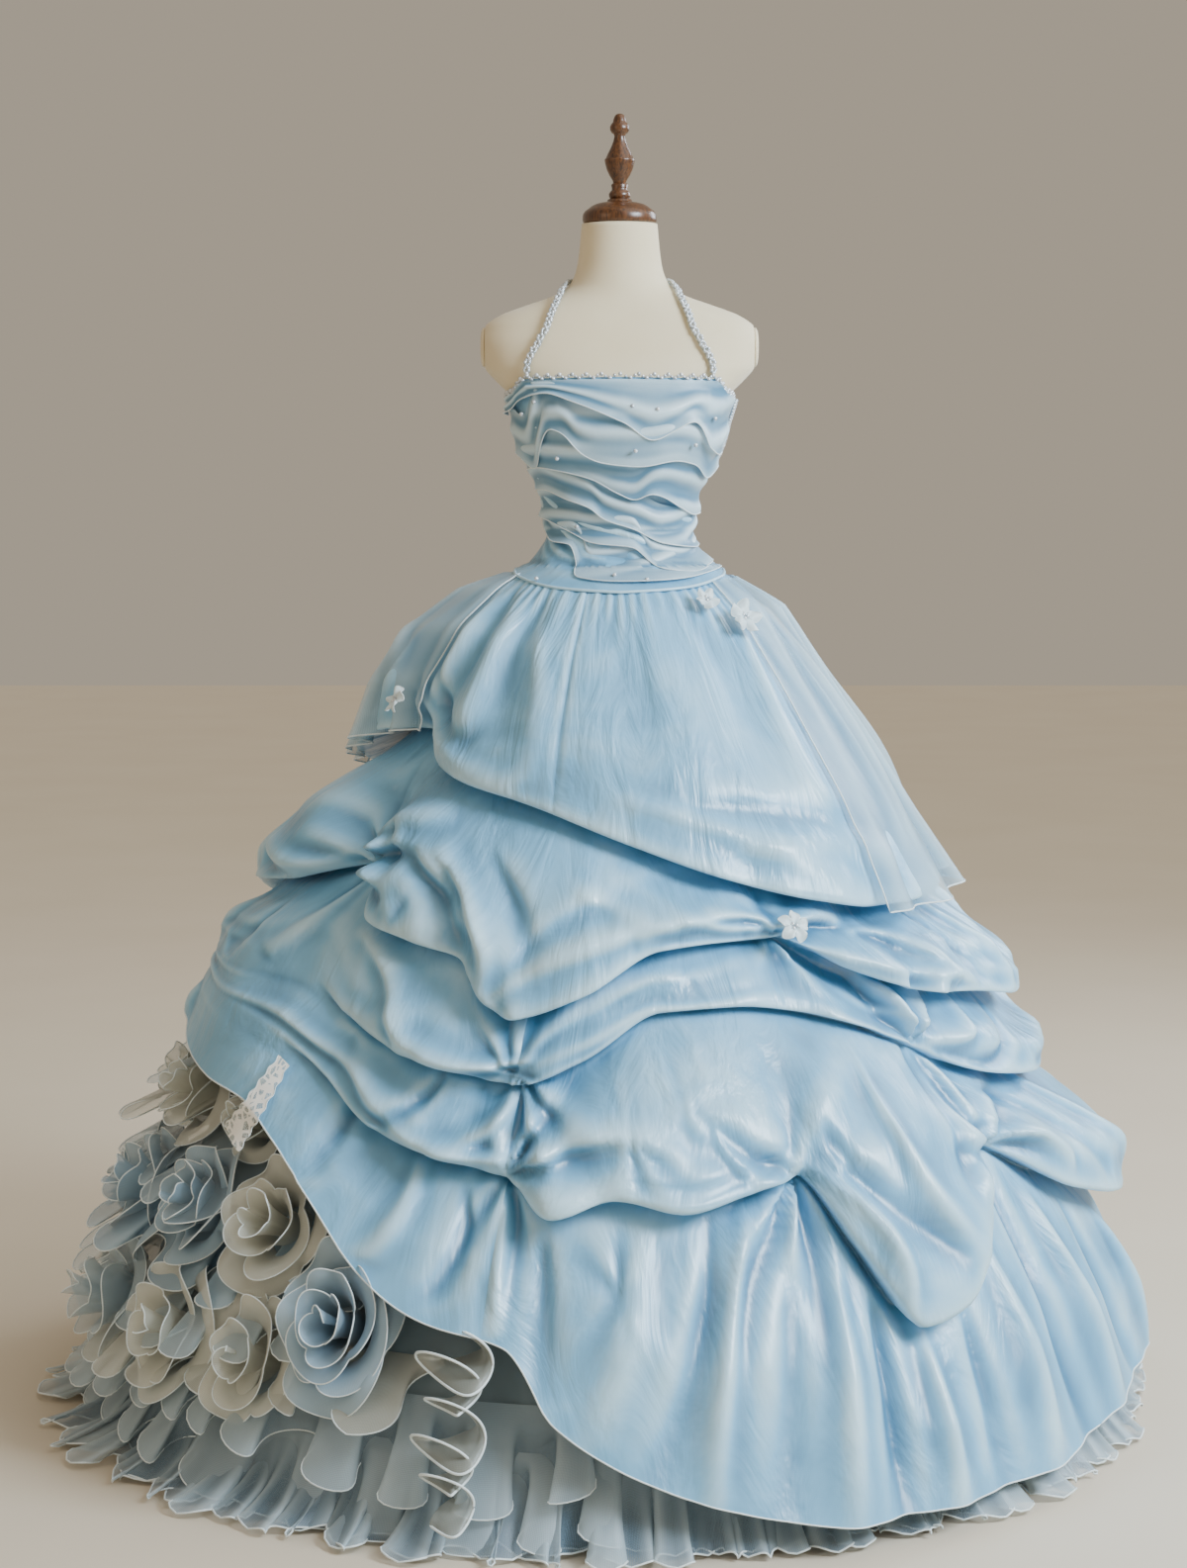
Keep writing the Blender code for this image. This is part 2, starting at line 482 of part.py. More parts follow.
def hip_veil(name, first, last, stand, sheer):
    """A sheer layer over the top of the skirt at one hip, standing off between its gathered edges."""
    phi = np.concatenate([np.array(lines[:-1], float) for _, lines in GORES])
    phi = phi[(phi >= first) & (phi <= last)]
    grid = skirt_rows(phi)[:, 1:6]
    grid[:, 0] += 0.25 * (grid[:, 1] - grid[:, 0])
    across = np.sin(np.linspace(0, math.pi, len(phi)))[:, None] ** 0.8
    a = np.radians(phi)[:, None, None]
    out = np.concatenate([np.sin(a), -np.cos(a), 0 * a], axis=2)
    grid = grid + (0.0036 + across * np.array(stand)[None, :])[..., None] * out
    wall(name, grid, behind(grid, SHEER), sheer)


def petticoat(lining):
    """The stiffened bell under the overskirt, one seamed tube."""
    lines = np.concatenate([np.array(lines[:-1], float) for _, lines in GORES])
    phi = lines[::2][:, None]
    height = np.array([row[0] for row in PETTICOAT])[None, :]
    phi, height = np.broadcast_arrays(phi, height)
    grid = bell_point(phi, height)
    return wall("petticoat", grid, behind(grid, CLOTH, closed=True), lining, closed=True)


def flounce_top(phi):
    """Where the hem flounce is sewn on: low where the rosettes cover the petticoat."""
    return np.interp(phi, (-180, -135, -125, -12, -4, 180), (0.15, 0.15, 0.070, 0.070, 0.15, 0.15))


def flounce_flare(phi):
    """How far the flounce's edge stands out: furthest under the rosettes."""
    return np.interp(phi, (-180, -130, -105, -60, -25, 30, 180), (0.034, 0.040, 0.085, 0.075, 0.045, 0.030, 0.034))


def hem_flounce(sheer):
    """A gathered ring of organza round the petticoat's hem, waved along its edge."""
    phi = np.concatenate([np.array(lines[:-1], float) for _, lines in GORES])[:, None]
    wave = np.tile((1.0, -1.0), len(phi) // 2)[:, None]
    phi = (phi + 180) % 360 - 180
    down = np.array([0.0, 0.55, 1.0])[None, :]
    phi, wave, down = np.broadcast_arrays(phi, wave, down)
    height = flounce_top(phi) + (0.004 - flounce_top(phi)) * down
    flare = flounce_flare(phi)
    off = SEAM + SHEER + 0.5 * flare * down + (0.6 * flare + 0.018 * wave) * down**5 + 0.004 * wave * down
    grid = bell_point(phi, height, off)
    wall("hem_flounce", grid, behind(grid, SHEER, closed=True), sheer, closed=True)


def local_frame(phi, height):
    """Centre and axes on the petticoat's bell: across, up and out."""
    centre = bell_point(phi, height)
    across = bell_point(phi + 0.5, height) - bell_point(phi - 0.5, height)
    up = bell_point(phi, height + 0.005) - bell_point(phi, height - 0.005)
    across, up = across / np.linalg.norm(across), up / np.linalg.norm(up)
    return centre, across, up, np.cross(across, up)


def tree_of(made):
    """The faces of an object, for measuring distances to it."""
    return BVHTree.FromPolygons([tuple(v.co) for v in made.data.vertices],
                                [tuple(f.vertices) for f in made.data.polygons])


def seated(made, carriers, direction):
    """Moves a piece along direction until it rests on its carriers, a seam's gap away."""
    away = Vector(direction).normalized()
    fixed = [tree_of(carrier) for carrier in carriers]
    gaps = []
    own = tree_of(made)
    for sense, pairs in ((-1, [(made, tree) for tree in fixed]), (1, [(carrier, own) for carrier in carriers])):
        for source, tree in pairs:
            for vertex in source.data.vertices:
                hit = tree.ray_cast(vertex.co - away * sense * 0.2, away * sense, 0.5)
                if hit[0] is not None:
                    gaps.append(hit[3] - 0.2)
    step = SEAM - min(gaps)
    for _ in range(80):
        for vertex in made.data.vertices:
            vertex.co += away * step
        if not any(tree_of(made).overlap(tree) for tree in fixed):
            break
        step = SEAM


def rosette(name, phi, height, wide, tall, deep, turns, carrier, sheer):
    """A rose of one gathered ribbon, wound outwards from its heart: the ribbon leans out more each turn."""
    centre, across, up, out = local_frame(phi, height)
    steps = int(round(turns * 6))
    wound = np.linspace(0, 1, steps + 1)[:, None]
    rise = np.array([0.0, 1.0])[None, :]
    wound, rise = np.broadcast_arrays(wound, rise)
    angle = wound * turns * 2 * math.pi
    root, lip = 0.12 + 0.42 * wound, 0.18 + 0.80 * wound
    reach = root + (lip - root) * rise
    grid = (centre + (wide * reach * np.cos(angle))[..., None] * across
            + (tall * reach * np.sin(angle))[..., None] * up
            + (0.001 + deep * (1 - 0.35 * wound) * rise)[..., None] * out)
    seated(wall(f"rosette_{name}", grid, behind(grid, SHEER), sheer), [carrier], out)


def jabot(carrier, sheer):
    """A ribbon folded to and fro down the front edge of the rosettes."""
    centre, across, up, out = local_frame(JABOT["angle"], JABOT["middle"])
    folds = JABOT["folds"]
    along = np.linspace(0, 1, 4 * folds + 1)[:, None]
    rise = np.array([0.0, 1.0])[None, :]
    along, rise = np.broadcast_arrays(along, rise)
    swing = JABOT["wide"] * np.sin(along * folds * 2 * math.pi) * (0.45 + 0.55 * rise)
    climb = JABOT["tall"] * (0.5 - along)
    grid = (centre + swing[..., None] * across + climb[..., None] * up
            + (0.001 + JABOT["deep"] * rise)[..., None] * out)
    seated(wall("jabot", grid, behind(grid, SHEER), sheer), [carrier], out)


def flower(name, phi, height, off, radius, carriers, silk):
    """A small flat silk flower of five petals."""
    _, across, up, out = local_frame(phi, height)
    centre = bell_point(phi, height, off)
    turn = np.arange(10) * 2 * math.pi / 10
    reach = radius * (0.78 + 0.22 * np.cos(5 * turn))
    rings = []
    for lift, size in ((0.0, 0.8), (0.003, 1.0), (0.006, 0.45)):
        rings.append([centre + out * lift + size * r * (across * math.cos(a) + up * math.sin(a))
                      for r, a in zip(reach, turn)])
    seated(lofted(name, rings, silk), carriers, out)


def lace_insert(carrier, lace):
    """A strip of lace sewn along the edge of the side puff, from its corner."""
    along = np.linspace(0, 1, 7)[:, None]
    share = np.linspace(-1, 1, 2)[None, :]
    along, share = np.broadcast_arrays(along, share)
    phi = -58.0 - 24.0 * along
    height = 0.560 + 0.035 * along - 0.011 * share
    grid = bell_point(phi, height, 0.16)
    out = local_frame(-70.0, 0.55)[3]
    seated(wall("lace_insert", grid[::-1], behind(grid[::-1], SHEER), lace), [carrier], out)


def build():
    for old in list(bpy.data.objects):
        bpy.data.objects.remove(old)
    canvas = material("form_canvas", (0.76, 0.66, 0.49), 0.75)
    wood = material("walnut", (0.10, 0.035, 0.015), 0.32)
    metal = material("stand_metal", (0.10, 0.10, 0.11), 0.4, 0.8)
    satin = material("satin_organza", (0.48, 0.70, 0.82), 0.35)
    sheer = material("sheer_organza", (0.56, 0.66, 0.70), 0.5)
    lining = material("petticoat_lining", (0.30, 0.42, 0.50), 0.6)
    beads = material("bead_trim", (0.85, 0.86, 0.88), 0.25)
    silk = material("silk_flower", (0.72, 0.82, 0.86), 0.5)

    dress_form(canvas, wood, metal)
    bodice(satin)
    bodice_drapes(sheer)
    halter(beads)
    neckline_trim(beads)
    bell = petticoat(lining)
    hem_flounce(sheer)
    overskirt(satin)
    hip_veil("hip_veil_left", 49, 122.5, (0.0, 0.024, 0.012, 0.006, 0.004), sheer)
    hip_veil("hip_veil_right", 238, 295, (0.0, 0.070, 0.070, 0.045, 0.022), sheer)
    for row in ROSETTES:
        rosette(*row, bell, sheer)
    jabot(bell, sheer)
    front, side = bpy.data.objects["overskirt_front"], bpy.data.objects["overskirt_right"]
    veils = [bpy.data.objects["hip_veil_left"], bpy.data.objects["hip_veil_right"]]
    for row in FLOWERS:
        flower(*row, [front, side] + veils, silk)
    lace_insert(side, silk)


build()
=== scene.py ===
"""The looks of a pick-up ball gown on its dress form. Lengths are in metres, +Z up, and the front faces -Y."""

import math

import bmesh
import bpy
import mathutils
import numpy as np
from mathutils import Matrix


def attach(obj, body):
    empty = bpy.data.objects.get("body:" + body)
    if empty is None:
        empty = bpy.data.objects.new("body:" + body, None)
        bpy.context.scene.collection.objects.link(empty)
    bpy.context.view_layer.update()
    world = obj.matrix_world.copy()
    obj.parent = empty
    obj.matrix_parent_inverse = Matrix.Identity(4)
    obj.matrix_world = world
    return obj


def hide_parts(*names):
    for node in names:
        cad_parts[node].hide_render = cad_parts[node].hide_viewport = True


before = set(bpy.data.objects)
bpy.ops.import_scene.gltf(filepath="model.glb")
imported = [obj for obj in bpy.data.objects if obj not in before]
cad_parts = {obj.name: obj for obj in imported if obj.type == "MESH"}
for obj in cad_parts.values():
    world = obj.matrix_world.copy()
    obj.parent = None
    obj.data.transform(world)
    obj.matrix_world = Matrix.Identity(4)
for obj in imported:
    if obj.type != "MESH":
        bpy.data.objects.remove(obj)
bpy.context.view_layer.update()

# -----------------------------------------------------------------------------
# Dress form: a moulded adult torso without arms, legs or head, covered in smooth cream cotton jersey that is
# pulled tight and glued, with an oval plate over each armhole.
# -----------------------------------------------------------------------------


def linear(code):
    """The linear colour of an sRGB hex code such as "dfd3b7", from the sRGB curve."""
    part = np.array([int(code[k:k + 2], 16) / 255 for k in (0, 2, 4)])
    part = np.where(part <= 0.04045, part / 12.92, ((part + 0.055) / 1.055) ** 2.4)
    return (*part.tolist(), 1.0)


def add(tree, kind, inputs=None, **settings):
    """Adds a node. Each input is a value, or the output that is linked to it, and settings are its properties."""
    made = tree.nodes.new(kind)
    for name, value in settings.items():
        setattr(made, name, value)
    for name, value in (inputs or {}).items():
        if isinstance(value, bpy.types.NodeSocket):
            tree.links.new(value, made.inputs[name])
        else:
            made.inputs[name].default_value = value
    return made


def new_finish(name, **settings):
    """A material with its Principled shader, whose sockets are set from words such as Coat_Weight=0.3."""
    made = bpy.data.materials.new(name)
    made.use_nodes = True
    shader = made.node_tree.nodes["Principled BSDF"]
    for word, value in settings.items():
        shader.inputs[word.replace("_", " ")].default_value = value
    return made, made.node_tree, shader


def blended(tree, factor, first, second):
    """The colour between two hex codes at a factor from 0 to 1."""
    mixed = add(tree, "ShaderNodeMix", {"Factor": factor}, data_type="RGBA")
    mixed.inputs["A"].default_value = linear(first)
    mixed.inputs["B"].default_value = linear(second)
    return mixed.outputs["Result"]


def noise(tree, place, scale, detail, **settings):
    """A noise texture at a place, with so many cells to the metre. Settings are words such as Distortion=0.6."""
    return add(tree, "ShaderNodeTexNoise", {"Vector": place, "Scale": scale, "Detail": detail, **settings})


def bumped(tree, shader, height, strength, distance):
    """Gives a finish the bump of a texture, of the strength and the height in metres given."""
    bump = add(tree, "ShaderNodeBump", {"Height": height, "Strength": strength, "Distance": distance})
    tree.links.new(bump.outputs["Normal"], shader.inputs["Normal"])


# Cotton jersey: it gives a dry, even, slightly mottled cream. Its stitches are drawn 1.1 mm apart, where the real
# ones are 0.7 mm.
jersey, tree, shader = new_finish("cotton_jersey", Roughness=0.82, Sheen_Weight=0.25, Sheen_Roughness=0.6)
place = add(tree, "ShaderNodeTexCoord").outputs["Object"]
mottle = noise(tree, place, 9.0, 5.0, Roughness=0.6)
tree.links.new(blended(tree, mottle.outputs["Fac"], "d9c9a4", "e6dabd"), shader.inputs["Base Color"])
knit = noise(tree, place, 900.0, 2.0)
bumped(tree, shader, knit.outputs["Fac"], 0.12, 0.0006)

# Horizontal sections of the form: height, half width, depth in front, depth behind, squareness.
TORSO = np.array((
    (0.900, 0.150, 0.118, 0.125, 2.2),
    (0.960, 0.168, 0.122, 0.135, 2.2),
    (1.030, 0.166, 0.118, 0.132, 2.2),
    (1.090, 0.148, 0.110, 0.116, 2.2),
    (1.140, 0.123, 0.098, 0.094, 2.2),
    (1.175, 0.107, 0.088, 0.082, 2.1),
    (1.215, 0.099, 0.084, 0.079, 2.1),
    (1.255, 0.103, 0.090, 0.083, 2.1),
    (1.295, 0.118, 0.108, 0.091, 2.2),
    (1.335, 0.135, 0.127, 0.099, 2.3),
    (1.370, 0.144, 0.128, 0.103, 2.3),
    (1.400, 0.153, 0.114, 0.104, 2.3),
    (1.420, 0.172, 0.103, 0.102, 2.3),
    (1.440, 0.188, 0.094, 0.099, 2.3),
    (1.470, 0.194, 0.082, 0.092, 2.3),
    (1.492, 0.188, 0.074, 0.084, 2.2),
    (1.508, 0.168, 0.068, 0.077, 2.2),
    (1.522, 0.132, 0.063, 0.071, 2.1),
    (1.536, 0.092, 0.059, 0.066, 2.0),
    (1.552, 0.068, 0.057, 0.061, 2.0),
    (1.580, 0.058, 0.054, 0.057, 2.0),
    (1.634, 0.052, 0.051, 0.052, 2.0),
))


def between(x, at, value):
    """A smooth curve through points: cubic Hermite pieces whose slope at each point is the harmonic mean of the
    slopes on its two sides, or level where they turn."""
    rise = np.diff(value) / np.diff(at)
    turning = rise[:-1] * rise[1:] > 0
    total = np.where(turning, rise[:-1] + rise[1:], 1)
    slope = np.concatenate([rise[:1], np.where(turning, 2 * rise[:-1] * rise[1:] / total, 0), rise[-1:]])
    k = np.clip(np.searchsorted(at, x, side="right") - 1, 0, len(at) - 2)
    step = at[k + 1] - at[k]
    t = np.clip((x - at[k]) / step, 0, 1)
    return ((2 * t**3 - 3 * t**2 + 1) * value[k] + (t**3 - 2 * t**2 + t) * step * slope[k]
            + (3 * t**2 - 2 * t**3) * value[k + 1] + (t**3 - t**2) * step * slope[k + 1])


def torso(phi, height, off=0.0):
    """A point of the form at phi degrees from the front: a superellipse whose half width and depths follow the
    sections, with off added to them."""
    a = np.radians(phi)
    wide, front, back, square = (between(height, TORSO[:, 0], TORSO[:, k]) for k in (1, 2, 3, 4))
    deep = np.where(np.cos(a) >= 0, front, back) + off
    x = (wide + off) * np.sign(np.sin(a)) * np.abs(np.sin(a)) ** (2 / square)
    y = -deep * np.sign(np.cos(a)) * np.abs(np.cos(a)) ** (2 / square)
    return np.stack(np.broadcast_arrays(x, y, height), axis=-1)


def tube(line, radius, sides=6):
    """The points and faces of a thin round cord along a line: a circle square to the line at each of its points,
    drawn in at both ends."""
    along = np.gradient(line, axis=0)
    along /= np.maximum(np.linalg.norm(along, axis=1, keepdims=True), 1e-9)
    level = np.cross(along, np.array([0.13, 0.21, 0.97]))
    level /= np.maximum(np.linalg.norm(level, axis=1, keepdims=True), 1e-9)
    rise = np.cross(along, level)
    size = np.full(len(line), radius)
    size[[0, -1]] *= 0.05
    turn = np.arange(sides) * 2 * math.pi / sides
    ring = (level[:, None] * np.cos(turn)[None, :, None] + rise[:, None] * np.sin(turn)[None, :, None])
    points = (line[:, None] + ring * size[:, None, None]).reshape(-1, 3)
    i, j = np.meshgrid(np.arange(len(line) - 1), np.arange(sides), indexing="ij")
    a, b = i * sides + j, i * sides + (j + 1) % sides
    return points, np.stack([a, a + sides, b + sides, b], axis=-1).reshape(-1, 4)


def crest_of(grid, reach=3):
    """How far each place lies on a crest (1) or in a hollow (0): the bend along and down the cloth, which is the
    middle point's height over the chord through its neighbours, divided by the chord and squashed by tanh."""
    normal = np.cross(np.gradient(grid, axis=1), np.gradient(grid, axis=0))
    normal /= np.maximum(np.linalg.norm(normal, axis=2, keepdims=True), 1e-12)
    bend = np.zeros(grid.shape[:2])
    for axis in (0, 1):
        size = grid.shape[axis]
        step = min(reach, (size - 1) // 2)
        here = np.arange(size)
        first, last = np.maximum(here - step, 0), np.minimum(here + step, size - 1)
        before, after = np.take(grid, first, axis), np.take(grid, last, axis)
        chord = np.maximum(np.linalg.norm(after - before, axis=2), 1e-6)
        bend += np.sum((grid - 0.5 * (before + after)) * normal, axis=2) / chord
    return 0.5 + 0.5 * np.tanh(6 * bend)


def sheet_of(name, grid, finish, closed=False, edges=(), edge_finish=None, edge_radius=0.0011, crest=None):
    """A smooth surface through a grid of points, first index along and second down, with its UV map in metres of
    cloth and its crests as an attribute. Each edge is a line of points that carries a rolled hem, a thin cord of
    the second finish."""
    across, down = grid.shape[:2]
    last = across if closed else across - 1
    i, j = np.meshgrid(np.arange(last), np.arange(down - 1), indexing="ij")
    a, b = i * down + j, (i + 1) % across * down + j
    points, quads = [grid.reshape(-1, 3)], [np.stack([a, a + 1, b + 1, b], axis=-1).reshape(-1, 4)]
    kinds = [np.zeros(len(quads[0]), np.int32)]
    for line in edges:
        more, faces = tube(line, edge_radius)
        quads.append(faces + sum(len(p) for p in points))
        points.append(more)
        kinds.append(np.ones(len(faces), np.int32))
    points, quads, kinds = np.concatenate(points), np.concatenate(quads), np.concatenate(kinds)
    mesh = bpy.data.meshes.new(name)
    mesh.vertices.add(len(points))
    mesh.vertices.foreach_set("co", points.astype(np.float32).ravel())
    mesh.loops.add(quads.size)
    mesh.loops.foreach_set("vertex_index", quads.astype(np.int32).ravel())
    mesh.polygons.add(len(quads))
    mesh.polygons.foreach_set("loop_start", np.arange(0, quads.size, 4, dtype=np.int32))
    mesh.polygons.foreach_set("material_index", kinds)
    mesh.update(calc_edges=True)
    along = np.linalg.norm(np.diff(grid, axis=0), axis=2).mean(1)
    fall = np.linalg.norm(np.diff(grid, axis=1), axis=2).mean(0)
    u = np.concatenate([[0], np.cumsum(along), [0]])
    v = np.concatenate([[0], np.cumsum(fall)])
    if closed:
        u[-1] = u[-2] + along.mean()
    column, row = np.minimum(quads // down, across), quads % down
    wrapped = closed & (kinds == 0)[:, None] & (column == 0) & (column.max(axis=1, keepdims=True) > 1)
    column = np.where(wrapped, across, column)
    flat = np.stack([u[column], v[row]], axis=-1)
    flat[kinds == 1] = 0
    mesh.uv_layers.new(name="cloth").data.foreach_set("uv", flat.astype(np.float32).ravel())
    crest = crest_of(grid) if crest is None else np.broadcast_to(crest, grid.shape[:2])
    marks = np.ones(len(points), np.float32)
    marks[:across * down] = crest.ravel()
    mesh.attributes.new("crest", "FLOAT", "POINT").data.foreach_set("value", marks)
    mesh.materials.append(finish)
    if edge_finish:
        mesh.materials.append(edge_finish)
    mesh.shade_smooth()
    mesh.validate()
    made = bpy.data.objects.new(name, mesh)
    bpy.context.scene.collection.objects.link(made)
    return made


def placed(made, slot, *nodes):
    """Puts a piece on the one body of the part, in place of its CAD nodes. Its slot is not used."""
    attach(made, "root")
    if nodes:
        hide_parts(*nodes)
    return made


SHOULDER_CUT = 0.186  # half width across the flat armhole ends
turn = np.linspace(0, 360, 121)[:-1][:, None]
height = np.linspace(1.634, 0.9005, 150)[None, :]
turn, height = np.broadcast_arrays(turn, height)
skin = torso(turn, height)
skin[..., 0] = np.clip(skin[..., 0], -SHOULDER_CUT, SHOULDER_CUT)
bottom = skin[:, -1:] * np.array([0.02, 0.02, 1.0])
top = skin[:, :1] * np.array([0.02, 0.02, 1.0])
placed(sheet_of("form_body", np.concatenate([top, skin, bottom], axis=1), jersey, closed=True),
       "form_canvas", "form_torso")

# Each armhole plate is a flat oval board with a rounded rim, covered in the same jersey. Its half profile: how
# far out, share of the radius.
PLATE = np.array(((0.0000, 0.02), (0.0000, 0.96), (0.0004, 0.99), (0.0014, 1.0), (0.0026, 0.985),
                  (0.0038, 0.93), (0.0050, 0.82), (0.0058, 0.62), (0.0062, 0.35), (0.0062, 0.02)))
PLATE_RADIUS, PLATE_BACK, PLATE_HEIGHT = 0.027, 0.003, 1.466
for side, name in ((1, "left"), (-1, "right")):
    turn = np.radians(np.linspace(0, 360, 73)[:-1][:, None])
    size = PLATE_RADIUS * PLATE[None, :, 1]
    out = side * (SHOULDER_CUT + 0.0003 + PLATE[None, :, 0])
    plate = np.stack(np.broadcast_arrays(out, PLATE_BACK + side * size * np.cos(turn),
                                         PLATE_HEIGHT + size * np.sin(turn)), axis=-1)
    placed(sheet_of(f"armhole_plate_{name}", plate, jersey, closed=True), "form_canvas", f"arm_plate_{name}")

# -----------------------------------------------------------------------------
# Neck cap and finial: turned walnut, stained dark, with a thin satin varnish. The cap closes the neck, and the
# finial screws into it.
# -----------------------------------------------------------------------------

# Walnut, turned and varnished: straight fine grain up the finial, 1 to 3 mm apart, under a soft clear gloss.
walnut, tree, shader = new_finish("turned_walnut", Roughness=0.34, Coat_Weight=0.35, Coat_Roughness=0.22)
place = add(tree, "ShaderNodeTexCoord").outputs["Object"]
drawn = add(tree, "ShaderNodeMapping", {"Vector": place, "Scale": (60.0, 60.0, 6.0)})
grain = noise(tree, drawn.outputs["Vector"], 6.0, 6.0, Roughness=0.65, Distortion=0.8)
sharp = add(tree, "ShaderNodeMapRange", {"Value": grain.outputs["Fac"], "From Min": 0.34, "From Max": 0.68})
tree.links.new(blended(tree, sharp.outputs["Result"], "241006", "6e4322"), shader.inputs["Base Color"])
bumped(tree, shader, grain.outputs["Fac"], 0.15, 0.0005)

# Half profiles: height, radius.
NECK_CAP = ((1.6345, 0.001), (1.6345, 0.0470), (1.6350, 0.0490), (1.6372, 0.0507), (1.640, 0.0512), (1.6445, 0.0511),
            (1.648, 0.0503), (1.6515, 0.0478), (1.655, 0.0430), (1.6585, 0.0385), (1.661, 0.0335), (1.6628, 0.0270),
            (1.664, 0.0190), (1.6650, 0.0172), (1.6672, 0.0166), (1.668, 0.0150), (1.668, 0.001))
FINIAL = ((1.6683, 0.001), (1.6683, 0.0128), (1.671, 0.0146), (1.675, 0.0150), (1.678, 0.0132), (1.680, 0.0110),
          (1.683, 0.0108), (1.687, 0.0118), (1.6885, 0.0108), (1.690, 0.0090), (1.693, 0.0096), (1.700, 0.0140),
          (1.708, 0.0178), (1.716, 0.0200), (1.7198, 0.0207), (1.7210, 0.0209), (1.7222, 0.0205), (1.7236, 0.0190),
          (1.729, 0.0168), (1.738, 0.0122), (1.746, 0.0090), (1.753, 0.0073), (1.7560, 0.0082), (1.758, 0.0112),
          (1.7615, 0.0131), (1.766, 0.0135), (1.7695, 0.0118), (1.772, 0.0095), (1.7745, 0.0090), (1.7775, 0.0082),
          (1.781, 0.0066), (1.783, 0.0045), (1.784, 0.001))


def turned(name, profile, finish, steps=72):
    """A piece turned on a lathe: its half profile carried round the Z axis, top to bottom."""
    high, radius = np.array(profile)[::-1].T
    a = np.radians(np.arange(steps) * 360 / steps)[:, None]
    grid = np.stack(np.broadcast_arrays(radius * np.sin(a), -radius * np.cos(a), high), axis=-1)
    made = sheet_of(name, grid, finish, closed=True)
    made.data.set_sharp_from_angle(angle=math.radians(50))
    return made


placed(turned("turned_neck_cap", NECK_CAP, walnut), "walnut", "neck_cap")
placed(turned("turned_finial", FINIAL, walnut), "walnut", "finial")

# -----------------------------------------------------------------------------
# Stand: a steel pole in a round cast base, both in dark grey satin stove enamel. The skirt hides them.
# -----------------------------------------------------------------------------

# Stove enamel on steel: dark grey, with a fine orange peel a few millimetres across.
enamel, tree, shader = new_finish("stove_enamel", Base_Color=linear("2a2c2f"), Roughness=0.42, Metallic=0.1)
place = add(tree, "ShaderNodeTexCoord").outputs["Object"]
peel = noise(tree, place, 320.0, 2.0)
bumped(tree, shader, peel.outputs["Fac"], 0.1, 0.0005)
for name in ("stand_pole", "stand_base"):
    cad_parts[name].data.materials.clear()
    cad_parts[name].data.materials.append(enamel)

# -----------------------------------------------------------------------------
# Petticoat: a stiffened bell of blue-grey lining, gathered to the waist, which carries the whole skirt.
# -----------------------------------------------------------------------------

# Lining taffeta: matt blue-grey, in soft random clouds of tone.
taffeta, tree, shader = new_finish("lining_taffeta", Roughness=0.6, Sheen_Weight=0.2)
place = add(tree, "ShaderNodeTexCoord").outputs["Object"]
cloudy = noise(tree, place, 6.0, 3.0)
tree.links.new(blended(tree, cloudy.outputs["Fac"], "4f6470", "7b8d95"), shader.inputs["Base Color"])
slub = noise(tree, place, 260.0, 3.0)
bumped(tree, shader, slub.outputs["Fac"], 0.2, 0.0006)

# The bell: height, half width, half depth.
BELL = np.array((
    (0.012, 0.692, 0.692),
    (0.150, 0.664, 0.664),
    (0.450, 0.542, 0.542),
    (0.750, 0.371, 0.367),
    (1.000, 0.233, 0.221),
    (1.120, 0.172, 0.152),
    (1.152, 0.143, 0.121),
    (1.166, 0.1180, 0.0968),
))


def bell(phi, height, off=0.0):
    """A point of the petticoat's bell at phi degrees from the front: an ellipse whose half width and half depth
    follow the sections, with off added to them."""
    a = np.radians(phi)
    wide = between(height, BELL[:, 0], BELL[:, 1]) + off
    deep = between(height, BELL[:, 0], BELL[:, 2]) + off
    return np.stack(np.broadcast_arrays(wide * np.sin(a), -deep * np.cos(a), height), axis=-1)


phi = np.linspace(-180, 180, 481)[:-1][:, None]
down = np.linspace(0, 1, 26)[None, :]
height = 1.166 - 1.154 * down
bare = np.exp(-(((phi + 70) / 62) ** 4)) * np.clip((0.62 - height) / 0.25, 0, 1)
gathers = np.cos(np.radians(54 * phi) + 2.2 * np.sin(np.radians(7 * phi)) + 1.2 * np.sin(5 * down))
grid = bell(phi, height, (0.0012 + 0.007 * bare * down) * (gathers - 1) + 0.003 * bare)
petticoat = placed(sheet_of("petticoat_bell", grid, taffeta, closed=True), "petticoat_lining", "petticoat")

# -----------------------------------------------------------------------------
# Hem flounce: starched organza gathered into organ pipes and sewn round the petticoat's hem, with a rolled edge
# over nylon line that throws it into waves. It stands furthest out under the rosettes.
# -----------------------------------------------------------------------------


def woven(tree, place, spacing, strength, distance):
    """A plain weave's bump: the sum of two bands of threads at right angles, spacing metres apart, on the cloth's
    own UV map."""
    turned_map = add(tree, "ShaderNodeMapping", {"Vector": place, "Rotation": (0, 0, math.radians(90))})
    warp = add(tree, "ShaderNodeTexWave", {"Vector": place, "Scale": 0.314 / spacing, "Distortion": 0.6,
                                           "Detail": 1.0})
    weft = add(tree, "ShaderNodeTexWave", {"Vector": turned_map.outputs["Vector"], "Scale": 0.314 / spacing,
                                           "Distortion": 0.6, "Detail": 1.0})
    both = add(tree, "ShaderNodeMath", {0: warp.outputs["Fac"], 1: weft.outputs["Fac"]}, operation="ADD")
    return add(tree, "ShaderNodeBump", {"Height": both.outputs["Value"], "Strength": strength,
                                        "Distance": distance}), both.outputs["Value"]


